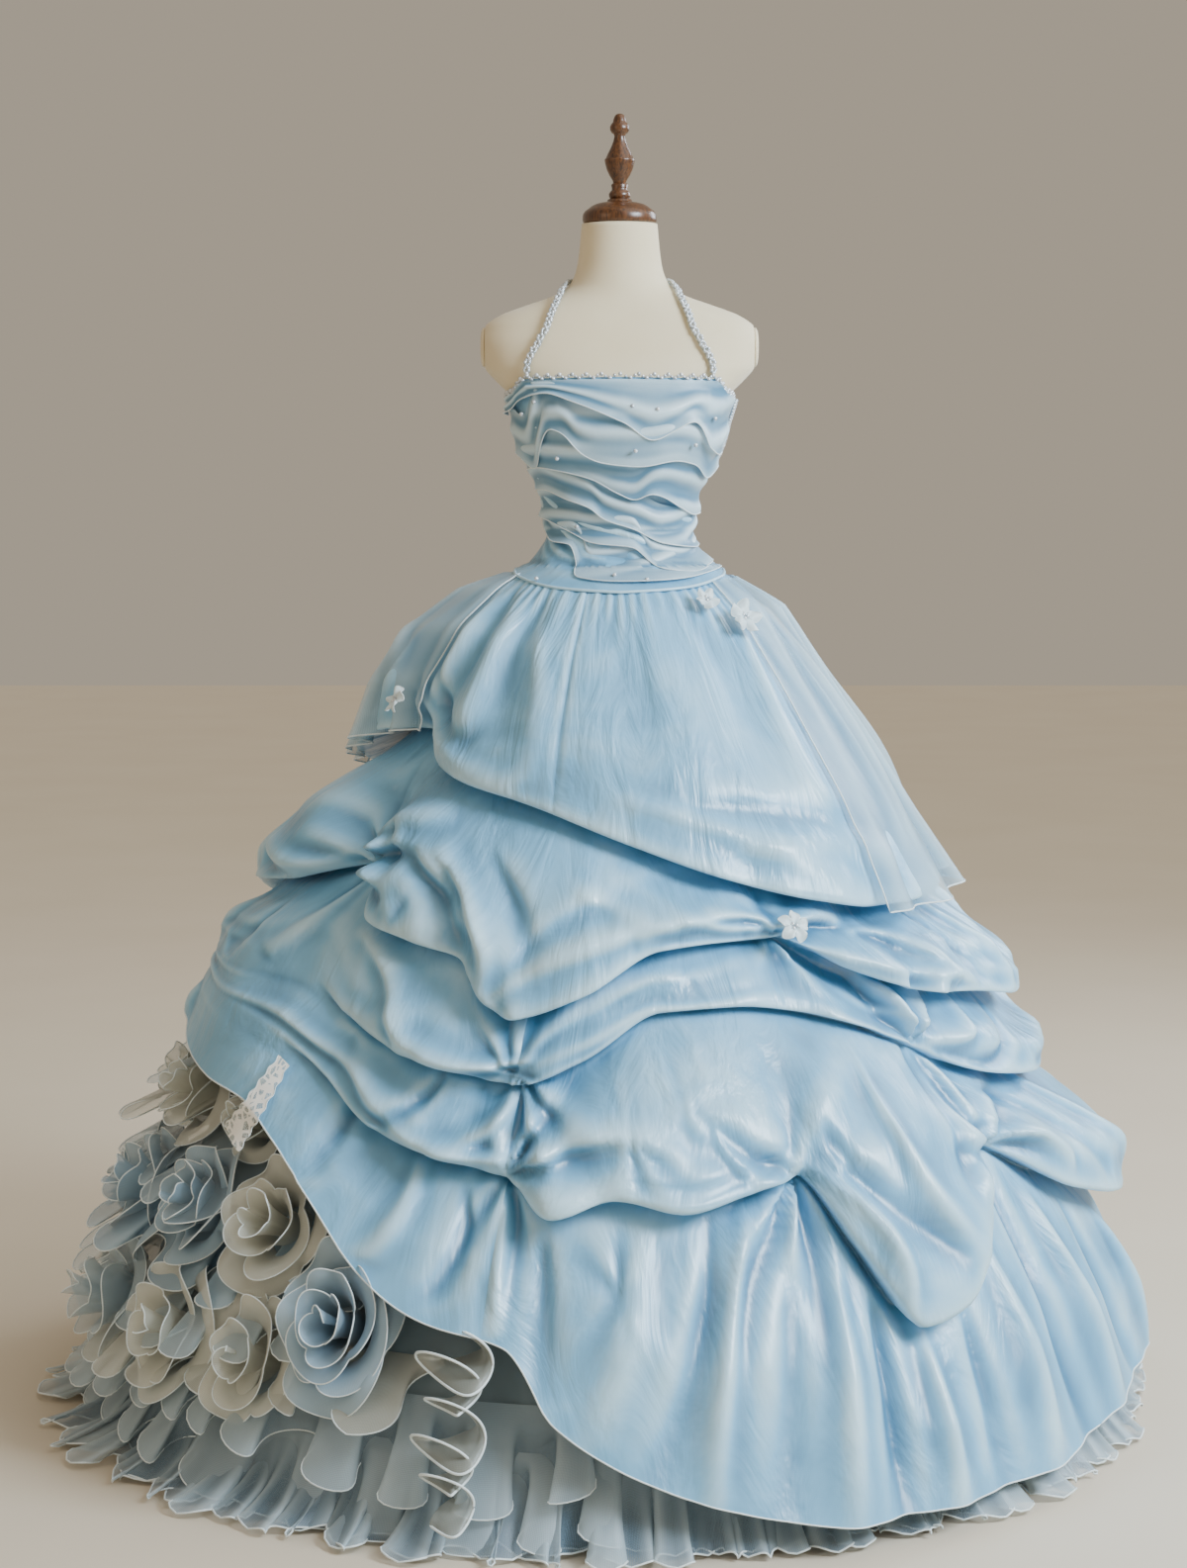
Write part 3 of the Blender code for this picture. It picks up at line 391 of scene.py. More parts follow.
def organza(name, dark, light, alpha, sheen=0.35):
    """Starched organza: a crisp sheer plain weave in faint random clouds of tone, its colour painted lighter on its
    crests and darker in its hollows, a painted highlight and painted shade. It shows what lies behind it as a haze,
    and is drawn with threads 1.6 mm apart, where the real ones are 0.25 mm."""
    made, tree, shader = new_finish(name, Roughness=0.38, Sheen_Weight=sheen, Sheen_Roughness=0.35,
                                    Subsurface_Weight=0.0)
    cloth = add(tree, "ShaderNodeTexCoord").outputs["UV"]
    place = add(tree, "ShaderNodeTexCoord").outputs["Object"]
    cloudy = noise(tree, place, 14.0, 4.0, Roughness=0.6)
    # The crest attribute paints light into the colour: a painted highlight on the crests and painted shade in the
    # hollows.
    crest = add(tree, "ShaderNodeAttribute", attribute_name="crest").outputs["Fac"]
    painted_crest_shading = add(tree, "ShaderNodeMapRange", {"Value": crest, "From Min": 0.25, "From Max": 0.85})
    clouded = add(tree, "ShaderNodeMath", {0: cloudy.outputs["Fac"], 1: 0.35, 2: -0.17}, operation="MULTIPLY_ADD")
    both = add(tree, "ShaderNodeMath", {0: painted_crest_shading.outputs["Result"], 1: clouded.outputs["Value"]},
               operation="ADD", use_clamp=True)
    tree.links.new(blended(tree, both.outputs["Value"], dark, light), shader.inputs["Base Color"])
    bump, threads = woven(tree, cloth, 0.0016, 0.05, 0.0003)
    tree.links.new(bump.outputs["Normal"], shader.inputs["Normal"])
    open_weave = add(tree, "ShaderNodeMapRange", {"Value": threads, "From Min": 0.0, "From Max": 2.0,
                                                  "To Min": alpha - 0.08, "To Max": alpha + 0.08})
    tree.links.new(open_weave.outputs["Result"], shader.inputs["Alpha"])
    return made


sheer_blue = organza("organza_blue", "6f9ab2", "c9e4ef", 0.50)
sheer_pale = organza("organza_pale", "71899a", "c2d6e0", 0.52)

# A rolled edge: silk thread closely sewn over nylon line, a satin cord 2 to 3 mm thick. Its near-white colour is a
# painted highlight, the bright line along the edges of the folds and hems.
rolled, tree, shader = new_finish("rolled_edge_painted_highlight", Roughness=0.35, Sheen_Weight=0.4)
place = add(tree, "ShaderNodeTexCoord").outputs["Object"]
stitched = noise(tree, place, 420.0, 1.0)
tree.links.new(blended(tree, stitched.outputs["Fac"], "c9dce2", "f2f8f8"), shader.inputs["Base Color"])


def flounce(phi, down, top, flare, pipes, seed):
    """Organza gathered at its top and flared towards the floor: the pipes are cosine waves round the bell, uneven
    in width and depth, which open with the fifth power of the way down."""
    a = np.radians(phi)
    full = np.exp(-(((phi + 68) / 62) ** 4))
    wave = np.cos(pipes * a + 1.7 * np.sin(7 * a + seed) + 0.8 * np.sin(17 * a + 2 * seed))
    deep = 0.85 + 0.45 * np.sin(11 * a + 3 * seed) * np.sin(5 * a + seed) + 0.45 * full
    curl = np.sin(2 * pipes * a + 2.9 * np.sin(7 * a + seed) + 1.5)
    height = top + (0.005 + 0.007 * np.abs(curl) - top) * down
    off = (0.002 + 0.5 * flare * down + (0.6 * flare + 0.020 * wave * deep) * down**4
           + (0.004 + 0.004 * down) * wave * deep * down**0.7)
    shift = 0.9 * curl * deep * down**2
    return bell(phi + shift, height, off)


phi = np.linspace(-180, 180, 1081)[:-1][:, None]
down = (np.linspace(0, 1, 12)[None, :]) ** 0.9
top = np.interp(phi, (-180, -135, -125, -12, -4, 180), (0.15, 0.15, 0.10, 0.10, 0.15, 0.15))
flare = np.interp(phi, (-180, -130, -105, -60, -25, 30, 180), (0.034, 0.040, 0.085, 0.075, 0.045, 0.030, 0.034))
outer = flounce(phi, down, top, flare, 52, 0.7)
hem_flounce = sheet_of("hem_flounce_outer", outer, sheer_pale, closed=True,
                       edges=[np.concatenate([outer[:, -1], outer[:1, -1]])], edge_finish=rolled,
                       edge_radius=0.0013)
placed(hem_flounce, "sheer_organza", "hem_flounce")
inner = flounce(phi, down, top - 0.02, 0.80 * flare, 44, 4.1)
under_flounce = sheet_of("hem_flounce_under", inner, sheer_pale, closed=True,
                         edges=[np.concatenate([inner[:, -1], inner[:1, -1]])], edge_finish=rolled,
                         edge_radius=0.0013)
placed(under_flounce, "sheer_organza")

# -----------------------------------------------------------------------------
# Overskirt: five gores of satin organza, gathered to the waist and caught up with hidden tacks in four rows of
# puffs. The cloth runs out over each puff, turns under at its fold, and comes out again below.
# -----------------------------------------------------------------------------

# Satin organza: a smooth blue face that spreads broad soft lights along its folds, crisp enough to hold fine crinkles,
# in soft random clouds of tone. Its colour is also painted lighter on the crests of its folds and darker in their
# hollows, a painted highlight and painted shade. Its threads are drawn 1.8 mm apart, where the real ones are 0.2 mm.
satin, tree, shader = new_finish("satin_organza", Roughness=0.35, Specular_IOR_Level=0.80, Sheen_Weight=0.18,
                                 Sheen_Roughness=0.30, Anisotropic=0.4, Coat_Weight=0.06, Coat_Roughness=0.25)
cloth = add(tree, "ShaderNodeTexCoord").outputs["UV"]
place = add(tree, "ShaderNodeTexCoord").outputs["Object"]
cloudy = noise(tree, place, 5.5, 4.0, Roughness=0.55, Distortion=0.6)
soft = add(tree, "ShaderNodeMapRange", {"Value": cloudy.outputs["Fac"], "From Min": 0.32, "From Max": 0.68,
                                        "To Min": -0.20, "To Max": 0.16})
# The crests paint light into the colour: the ramp's darkest blue is painted shade in the hollows and its palest a
# painted highlight on the ridges, with the random clouds of tone added.
crest = add(tree, "ShaderNodeAttribute", attribute_name="crest").outputs["Fac"]
painted_crest_shading = add(tree, "ShaderNodeMath", {0: crest, 1: soft.outputs["Result"]}, operation="ADD", use_clamp=True)
ramp = add(tree, "ShaderNodeValToRGB", {"Fac": painted_crest_shading.outputs["Value"]})
hollow, ridge = ramp.color_ramp.elements
hollow.position, hollow.color = 0.05, linear("447ba0")
ridge.position, ridge.color = 0.95, linear("b9def0")
ramp.color_ramp.elements.new(0.5).color = linear("78b3d6")
tree.links.new(ramp.outputs["Color"], shader.inputs["Base Color"])
drawn = add(tree, "ShaderNodeMapping", {"Vector": cloth, "Scale": (1.0, 0.35, 1.0)})
crinkle = noise(tree, drawn.outputs["Vector"], 16.0, 4.0, Roughness=0.5, Distortion=1.1)
creased = add(tree, "ShaderNodeBump", {"Height": crinkle.outputs["Fac"], "Strength": 0.70, "Distance": 0.010})
bump, threads = woven(tree, cloth, 0.0018, 0.04, 0.0003)
tree.links.new(creased.outputs["Normal"], bump.inputs["Normal"])
tree.links.new(bump.outputs["Normal"], shader.inputs["Normal"])

SKIRT_TOP = 1.164
EASE = 0.0065
# Each row of puffs has its lower folds: angle, height, how far the puff hangs out past the petticoat there, the
# swell above it, and how far the cloth turns back under it, from 0 to 1. The tacks are where it hangs out least.
PUFFS = (
    ((-97, 0.900, 0.085, 0.040, 1), (-80, 0.935, 0.070, 0.040, 1), (-65, 0.945, 0.026, 0.035, 1),
     (-46, 0.900, 0.045, 0.030, 1), (-17, 0.855, 0.045, 0.028, 1), (2, 0.812, 0.048, 0.028, 1),
     (19, 0.770, 0.052, 0.028, 1), (35, 0.738, 0.058, 0.026, 1), (50, 0.720, 0.065, 0.020, 1),
     (70, 0.722, 0.072, 0.008, 1), (90, 0.740, 0.066, 0.006, 1), (103, 0.785, 0.014, 0.020, 1),
     (125, 0.735, 0.065, 0.035, 1), (150, 0.750, 0.070, 0.045, 1), (172, 0.810, 0.016, 0.045, 1),
     (-165, 0.770, 0.070, 0.050, 1), (-140, 0.795, 0.080, 0.050, 1), (-118, 0.860, 0.085, 0.045, 1)),
    ((-95, 0.715, 0.125, 0.030, 0.5), (-75, 0.735, 0.095, 0.030, 0.7), (-58, 0.772, 0.014, 0.020, 1),
     (-46, 0.705, 0.060, 0.020, 1), (-36, 0.690, 0.066, 0.020, 1), (-27, 0.672, 0.050, 0.018, 1),
     (-16, 0.608, 0.060, 0.020, 1), (-6, 0.636, 0.066, 0.020, 1), (6, 0.690, 0.052, 0.015, 1),
     (17, 0.697, 0.034, 0.010, 1), (28, 0.698, 0.014, 0.008, 1), (38, 0.655, 0.045, 0.012, 1),
     (50, 0.618, 0.060, 0.018, 1), (64, 0.600, 0.072, 0.020, 1), (78, 0.580, 0.085, 0.020, 1),
     (91, 0.585, 0.078, 0.020, 1), (106, 0.645, 0.014, 0.020, 1), (124, 0.570, 0.080, 0.028, 1),
     (141, 0.565, 0.085, 0.028, 1), (158, 0.640, 0.014, 0.020, 1), (176, 0.560, 0.085, 0.028, 1),
     (-166, 0.565, 0.090, 0.028, 1), (-148, 0.645, 0.014, 0.025, 1), (-130, 0.620, 0.085, 0.028, 1),
     (-112, 0.665, 0.110, 0.030, 0.8)),
    ((-92, 0.655, 0.120, 0.006, 0), (-70, 0.650, 0.100, 0.006, 0), (-56, 0.640, 0.050, 0.006, 0),
     (-46, 0.602, 0.042, 0.006, 0.3), (-38, 0.574, 0.042, 0.008, 0.7), (-28, 0.552, 0.045, 0.010, 1),
     (-15, 0.532, 0.016, 0.006, 1), (-6, 0.560, 0.022, 0.008, 1), (6, 0.618, 0.022, 0.004, 1),
     (17, 0.622, 0.026, 0.003, 1), (28, 0.610, 0.026, 0.003, 1), (38, 0.585, 0.030, 0.004, 1),
     (49, 0.548, 0.014, 0.004, 1), (60, 0.500, 0.050, 0.012, 1), (76, 0.478, 0.062, 0.014, 1),
     (92, 0.490, 0.052, 0.014, 1), (108, 0.530, 0.014, 0.012, 1), (128, 0.450, 0.060, 0.016, 1),
     (150, 0.440, 0.066, 0.018, 1), (168, 0.510, 0.014, 0.012, 1), (-172, 0.440, 0.066, 0.018, 1),
     (-154, 0.450, 0.066, 0.018, 1), (-136, 0.515, 0.030, 0.014, 0.8), (-125, 0.548, 0.066, 0.008, 0.4),
     (-114, 0.580, 0.100, 0.006, 0)),
    ((-92, 0.610, 0.112, 0.000, 0), (-70, 0.595, 0.105, 0.000, 0), (-56, 0.575, 0.078, 0.000, 0),
     (-43, 0.525, 0.050, 0.000, 0.3), (-33, 0.470, 0.046, 0.006, 0.8), (-23, 0.444, 0.044, 0.008, 1),
     (-14.4, 0.428, 0.014, 0.006, 1), (-8, 0.388, 0.060, 0.014, 1), (-1, 0.408, 0.060, 0.016, 1),
     (7, 0.392, 0.062, 0.016, 1), (14, 0.408, 0.050, 0.012, 1), (22, 0.424, 0.030, 0.010, 1),
     (27, 0.330, 0.056, 0.020, 1), (32, 0.240, 0.070, 0.026, 1), (38, 0.255, 0.074, 0.026, 1),
     (46, 0.335, 0.064, 0.020, 1), (54, 0.418, 0.016, 0.012, 1), (66, 0.340, 0.070, 0.026, 1),
     (82, 0.300, 0.096, 0.034, 1), (98, 0.330, 0.080, 0.030, 1), (112, 0.400, 0.016, 0.018, 1),
     (132, 0.290, 0.080, 0.030, 1), (152, 0.300, 0.084, 0.030, 1), (170, 0.390, 0.016, 0.016, 1),
     (-172, 0.310, 0.075, 0.026, 1), (-154, 0.330, 0.075, 0.026, 1), (-138, 0.420, 0.040, 0.008, 0.8),
     (-126, 0.475, 0.070, 0.004, 0.4), (-114, 0.525, 0.100, 0.000, 0)),
)
FILL = (1.35, 2.0, 2.0, 2.0)
# The hem: angle, height, flare.
HEM = ((-92, 0.560, 0.102), (-80, 0.530, 0.102), (-62, 0.500, 0.095), (-53, 0.490, 0.090), (-44.6, 0.450, 0.085),
       (-37.6, 0.400, 0.080), (-28, 0.316, 0.075), (-20.6, 0.272, 0.066), (-12, 0.248, 0.058),
       (-6.4, 0.165, 0.062), (6, 0.085, 0.068), (21.7, 0.042, 0.076), (30, 0.040, 0.066), (47, 0.045, 0.056),
       (62, 0.070, 0.052), (78, 0.086, 0.056), (92, 0.078, 0.060), (115, 0.046, 0.060), (150, 0.040, 0.062),
       (180, 0.042, 0.064), (-150, 0.060, 0.066), (-132, 0.200, 0.078), (-118, 0.380, 0.096),
       (-106, 0.480, 0.100))


def round_the_skirt(phi, table, column):
    """A column of a table of angles, as a smooth curve that closes on itself round the skirt."""
    rows = np.array(sorted(table), float)
    angle = np.concatenate([rows[-3:, 0] - 360, rows[:, 0], rows[:3, 0] + 360])
    value = np.concatenate([rows[-3:, column], rows[:, column], rows[:3, column]])
    return between((phi + 180) % 360 - 180, angle, value)


def skirt_rows(phi):
    """The overskirt at the angles phi, waist to hem, in 23 rows. On each puff the way out from the petticoat
    follows 1 - (1 - s) ** fill plus a sine swell, and the way down is even in s. The cloth then turns under at the
    fold, goes back up to its tuck, and the next puff starts below both."""
    rows = [(np.full_like(phi, 0.0046), np.full_like(phi, SKIRT_TOP))]
    start_off, start = np.full_like(phi, EASE), np.full_like(phi, SKIRT_TOP)
    shares = ((0.035, 0.12, 0.35, 0.67, 1.0), (0.33, 0.67, 1.0), (0.5, 1.0), (0.5, 1.0))
    for table, stages, fill in zip(PUFFS, shares, FILL):
        fold, over, swell, under = (round_the_skirt(phi, table, k) for k in (1, 2, 3, 4))
        over = np.maximum(over, 0.024) + EASE
        for s in stages:
            bulge = swell * math.sin(math.pi * s) ** 1.1
            rows.append((start_off + (over - start_off) * (1 - (1 - s) ** fill) + bulge,
                         start + (fold - start) * s))
        tuck = fold + under * (0.75 * over - 0.024) - (1 - under) * 0.012
        rows.append((EASE + (over - EASE) * (1 - under), tuck))
        start_off = over * (1 - 0.5 * under)
        start = np.minimum(fold, tuck) - (0.010 + 0.12 * over * under)
        rows.append((start_off, start))
    low, flare = round_the_skirt(phi, HEM, 1), round_the_skirt(phi, HEM, 2)
    for s in (0.5, 1.0):
        rows.append((start_off + (EASE + flare - start_off) * s**0.7, start + (low - start) * s))
    return np.stack([bell(phi, height, off) for off, height in rows], axis=1)


def refined(rows, counts, rounds):
    """Fine rows from coarse ones: each stretch is cut into its count of equal steps, then each row takes a
    1-2-1 mean with its neighbours, so many times, which rounds the folds. Also gives the coarse row number."""
    t = np.concatenate([k + np.arange(n) / n for k, n in enumerate(counts)] + [[len(counts)]])
    low = np.minimum(t.astype(int), len(counts) - 1)
    share = (t - low)[None, :, None]
    fine = rows[:, low] * (1 - share) + rows[:, low + 1] * share
    for _ in range(rounds):
        fine[:, 1:-1] = 0.25 * fine[:, :-2] + 0.5 * fine[:, 1:-1] + 0.25 * fine[:, 2:]
    return fine, t


# Ridges (height above 0) and troughs (below 0) pressed into the cloth. Each is: the row of puffs, angle
# and height of its start and end, its bow to one side, its height, and its half width.
CREASES = (
    # Apron: drag lines from the waist, soft hollows by the right front seam, and swags above its edge.
    (0, -58, 1.120, -66, 0.975, 0.02, 0.012, 0.016), (0, -50, 1.120, -55, 0.960, 0.01, -0.012, 0.020),
    (0, -42, 1.110, -44, 0.930, 0.01, 0.009, 0.018), (0, -33, 1.110, -30, 0.950, -0.01, -0.014, 0.024),
    (0, -26, 1.070, -20, 0.900, 0.01, 0.007, 0.018), (0, -14.4, 1.150, -14.4, 0.880, 0.0, -0.003, 0.004),
    (0, -60, 1.020, -38, 0.935, -0.02, -0.010, 0.016), (0, -66, 0.985, -22, 0.890, -0.012, 0.008, 0.012),
    (0, -5, 1.090, 8, 0.880, 0.01, -0.005, 0.030), (0, 10, 1.120, 22, 0.930, -0.01, 0.006, 0.030),
    (0, 28, 1.100, 34, 0.900, 0.01, -0.007, 0.026), (0, 2, 0.870, 44, 0.760, 0.012, 0.008, 0.014),
    (0, 16, 0.860, 50, 0.800, 0.02, -0.007, 0.020), (0, 24, 0.810, 58, 0.785, 0.02, 0.007, 0.016),
    (0, 46, 1.090, 44, 0.850, -0.015, 0.009, 0.018), (0, 54, 1.060, 54, 0.820, 0.01, -0.009, 0.018),
    (0, 66, 1.100, 66, 0.800, 0.02, 0.012, 0.016), (0, 78, 1.080, 76, 0.830, 0.01, -0.011, 0.018),
    (0, 90, 1.080, 100, 0.830, -0.02, 0.012, 0.016), (0, 108, 1.060, 104, 0.860, 0.01, -0.010, 0.016),
    (0, 118, 1.090, 108, 0.850, 0.02, 0.012, 0.014), (0, 132, 1.090, 132, 0.800, 0.015, 0.010, 0.022),
    (0, 146, 1.060, 150, 0.800, 0.01, -0.011, 0.020), (0, 158, 1.090, 168, 0.860, -0.01, 0.012, 0.015),
    (0, 176, 1.080, 173, 0.880, 0.01, -0.011, 0.018), (0, -172, 1.080, -176, 0.860, -0.01, 0.012, 0.016),
    (0, -158, 1.080, -162, 0.820, 0.01, -0.010, 0.020), (0, -146, 1.080, -142, 0.840, 0.01, 0.010, 0.018),
    (0, -130, 1.060, -128, 0.860, 0.01, -0.011, 0.020), (0, -114, 1.080, -112, 0.900, 0.02, 0.012, 0.016),
    (0, -98, 1.070, -97, 0.930, 0.01, -0.010, 0.016), (0, -84, 1.080, -80, 0.960, 0.01, 0.010, 0.014),
    # First puffs: folds sweep between the tacks.
    (1, -58, 0.790, -40, 0.850, 0.02, 0.013, 0.012), (1, -58, 0.785, -34, 0.790, 0.02, 0.015, 0.013),
    (1, -56, 0.775, -40, 0.735, 0.01, 0.014, 0.012), (1, -50, 0.830, -44, 0.740, 0.0, -0.014, 0.014),
    (1, -33, 0.800, -19, 0.630, 0.02, 0.020, 0.013), (1, -40, 0.790, -25, 0.670, 0.01, -0.018, 0.016),
    (1, -24, 0.790, -13, 0.660, 0.01, -0.014, 0.016), (1, -18, 0.645, 8, 0.735, 0.015, 0.012, 0.014),
    (1, -14, 0.700, 14, 0.765, 0.02, -0.010, 0.018), (1, -6, 0.760, 24, 0.745, -0.02, 0.008, 0.016),
    (1, 28, 0.715, 4, 0.715, -0.02, 0.012, 0.010), (1, 28, 0.715, 44, 0.690, 0.02, 0.014, 0.012),
    (1, 30, 0.712, 56, 0.650, 0.015, -0.013, 0.014), (1, 44, 0.700, 58, 0.630, 0.02, 0.015, 0.012),
    (1, 60, 0.730, 66, 0.620, 0.01, -0.012, 0.014), (1, 70, 0.730, 74, 0.600, 0.01, 0.013, 0.014),
    (1, 84, 0.740, 82, 0.620, -0.01, -0.013, 0.016), (1, 100, 0.740, 90, 0.610, 0.02, 0.015, 0.014),
    (1, 106, 0.680, 122, 0.620, 0.03, 0.014, 0.014), (1, 112, 0.720, 132, 0.660, 0.03, -0.012, 0.016),
    (1, 158, 0.680, 140, 0.600, -0.03, 0.015, 0.014), (1, 150, 0.700, 128, 0.640, -0.03, 0.011, 0.016),
    (1, 162, 0.700, 178, 0.610, 0.03, 0.014, 0.014), (1, 168, 0.720, -172, 0.660, 0.03, -0.012, 0.016),
    (1, -148, 0.690, -166, 0.610, -0.03, 0.014, 0.015), (1, -142, 0.700, -126, 0.640, 0.03, 0.014, 0.014),
    (1, -124, 0.760, -116, 0.690, 0.01, -0.012, 0.016), (1, -106, 0.800, -100, 0.720, 0.02, 0.014, 0.016),
    (1, -90, 0.830, -88, 0.740, 0.01, -0.013, 0.018), (1, -60, 0.790, -82, 0.780, 0.02, 0.014, 0.012),
    (1, -60, 0.800, -76, 0.850, -0.02, 0.013, 0.012), (1, -62, 0.780, -90, 0.760, 0.03, -0.012, 0.012),
    # Laps: broad swags that hang between the second tacks.
    (2, -15, 0.560, -34, 0.600, 0.02, 0.014, 0.011), (2, -16, 0.550, -42, 0.580, 0.025, -0.013, 0.012),
    (2, -48, 0.690, -30, 0.570, 0.02, 0.014, 0.013), (2, -14, 0.560, 6, 0.660, 0.03, 0.010, 0.014),
    (2, 40, 0.660, 49, 0.570, 0.01, 0.014, 0.011), (2, 30, 0.670, 46, 0.590, 0.02, -0.012, 0.013),
    (2, 62, 0.590, 50, 0.560, 0.02, 0.014, 0.011), (2, 72, 0.560, 56, 0.520, 0.02, -0.012, 0.012),
    (2, 96, 0.560, 76, 0.510, 0.02, 0.013, 0.012), (2, 120, 0.540, 134, 0.480, 0.02, 0.013, 0.013),
    (2, 160, 0.540, 144, 0.470, -0.02, 0.013, 0.013), (2, 176, 0.540, -172, 0.470, 0.02, 0.013, 0.013),
    (2, -142, 0.560, -156, 0.480, -0.02, 0.013, 0.013), (2, -60, 0.740, -66, 0.660, 0.01, 0.013, 0.014),
    (2, -74, 0.700, -80, 0.650, 0.01, -0.013, 0.016), (2, -88, 0.700, -94, 0.660, 0.01, 0.013, 0.018),
    # Lower puffs: the wide plain front, then the pouch that hangs from the tack beside it.
    (3, -15, 0.510, -24, 0.455, 0.01, 0.013, 0.011), (3, -16, 0.450, -38, 0.550, 0.03, 0.015, 0.012),
    (3, -26, 0.530, -33, 0.480, 0.01, -0.012, 0.012), (3, -12, 0.440, 6, 0.470, 0.03, 0.011, 0.013),
    (3, -8, 0.500, 8, 0.560, 0.02, -0.007, 0.030), (3, 12, 0.470, 22, 0.440, -0.02, 0.013, 0.010),
    (3, 2, 0.430, 20, 0.450, -0.015, -0.012, 0.010), (3, 22, 0.445, 33, 0.560, 0.02, 0.010, 0.016),
    (3, 24, 0.430, 31, 0.290, 0.02, 0.018, 0.011), (3, 26, 0.470, 40, 0.330, -0.02, -0.016, 0.016),
    (3, 34, 0.520, 42, 0.320, -0.02, 0.016, 0.014), (3, 49, 0.540, 44, 0.370, -0.01, -0.013, 0.014),
    (3, 50, 0.545, 53, 0.440, 0.01, 0.014, 0.010), (3, 54, 0.430, 66, 0.390, 0.02, 0.014, 0.011),
    (3, 60, 0.480, 76, 0.360, 0.01, -0.013, 0.014), (3, 74, 0.470, 86, 0.340, 0.01, 0.014, 0.013),
    (3, 100, 0.460, 92, 0.350, 0.01, -0.013, 0.014), (3, 112, 0.430, 126, 0.340, 0.02, 0.015, 0.013),
    (3, 130, 0.440, 140, 0.330, 0.0, -0.013, 0.016), (3, 168, 0.430, 154, 0.340, -0.02, 0.015, 0.013),
    (3, 172, 0.430, -176, 0.350, 0.02, 0.014, 0.013), (3, -160, 0.440, -164, 0.350, 0.0, -0.013, 0.016),
    (3, -140, 0.460, -152, 0.370, -0.02, 0.015, 0.013),
    # Hem: pipes that open from the tacks to the floor.
    (4, -14, 0.420, -13, 0.270, 0.0, 0.014, 0.008), (4, -19, 0.400, -20, 0.300, 0.01, -0.012, 0.012),
    (4, -26, 0.430, -28, 0.340, 0.01, 0.012, 0.016), (4, -38, 0.500, -38, 0.420, 0.0, -0.010, 0.014),
    (4, -9, 0.360, -8, 0.200, 0.0, -0.012, 0.018), (4, 2, 0.350, -3, 0.150, 0.01, 0.010, 0.026),
    (4, 10, 0.360, 3, 0.110, 0.01, -0.012, 0.018), (4, 14, 0.370, 8, 0.090, -0.01, 0.016, 0.014),
    (4, 19, 0.370, 15, 0.060, 0.0, -0.012, 0.022), (4, 24, 0.320, 21, 0.040, 0.0, 0.017, 0.018),
    (4, 28, 0.260, 27, 0.040, 0.0, -0.022, 0.016), (4, 33, 0.220, 33, 0.040, 0.0, 0.018, 0.016),
    (4, 40, 0.240, 40, 0.040, 0.0, -0.014, 0.018), (4, 46, 0.310, 47, 0.050, 0.01, 0.014, 0.020),
    (4, 54, 0.390, 55, 0.060, 0.0, -0.014, 0.016), (4, 60, 0.330, 63, 0.080, 0.0, 0.016, 0.018),
    (4, 68, 0.300, 72, 0.090, 0.0, -0.014, 0.018), (4, 78, 0.260, 82, 0.090, 0.0, 0.016, 0.020),
    (4, 90, 0.280, 92, 0.080, 0.0, -0.014, 0.018), (4, 100, 0.300, 102, 0.060, 0.0, 0.014, 0.018),
    (4, 112, 0.370, 112, 0.060, 0.0, -0.016, 0.016), (4, 120, 0.280, 122, 0.050, 0.0, 0.016, 0.020),
    (4, 134, 0.260, 136, 0.050, 0.0, -0.013, 0.020), (4, 148, 0.270, 148, 0.050, 0.0, 0.015, 0.022),
    (4, 160, 0.300, 159, 0.050, 0.0, -0.014, 0.018), (4, 170, 0.350, 170, 0.050, 0.0, 0.015, 0.016),
    (4, -178, 0.280, -178, 0.050, 0.0, -0.014, 0.018), (4, -166, 0.280, -166, 0.060, 0.0, 0.015, 0.022),
    (4, -154, 0.290, -152, 0.080, 0.0, -0.014, 0.018), (4, -142, 0.350, -140, 0.170, 0.0, 0.014, 0.018),
    (4, -130, 0.430, -128, 0.290, 0.0, -0.012, 0.016), (4, -118, 0.490, -118, 0.420, 0.0, 0.012, 0.016),
    (4, -100, 0.600, -100, 0.530, 0.0, -0.012, 0.016), (4, -84, 0.580, -86, 0.540, 0.0, 0.012, 0.018),
)
# The tacks, where folds meet in a star: angle, height, reach of its folds, their depth.
TACKS = ((-58, 0.772, 0.060, 0.013), (28, 0.698, 0.050, 0.009), (-15, 0.545, 0.055, 0.010),
         (49, 0.552, 0.055, 0.011), (-14.4, 0.432, 0.045, 0.010), (22, 0.428, 0.055, 0.011),
         (54, 0.420, 0.050, 0.011), (7.5, 0.520, 0.024, 0.0022), (0.5, 0.484, 0.026, 0.0030),
         (-0.5, 0.305, 0.026, 0.0030), (103, 0.785, 0.055, 0.012), (106, 0.645, 0.050, 0.011),
         (108, 0.530, 0.050, 0.011), (112, 0.400, 0.050, 0.011), (172, 0.810, 0.060, 0.012),
         (158, 0.640, 0.055, 0.012), (168, 0.510, 0.050, 0.011), (170, 0.390, 0.050, 0.011),
         (-148, 0.645, 0.055, 0.012), (-136, 0.515, 0.050, 0.010), (-138, 0.420, 0.045, 0.010))


def about_line(u, v, reach, fall, bow):
    """Where places lie about a bowed line from the origin to (reach, fall): the share of the way along it, the
    distance to its side, and the distance past its ends."""
    long = math.hypot(reach, fall)
    t = (u * reach + v * fall) / long**2
    side = (v * reach - u * fall) / long - bow * 4 * t * (1 - t)
    return t, side, np.maximum(np.maximum(-t, t - 1), 0) * long


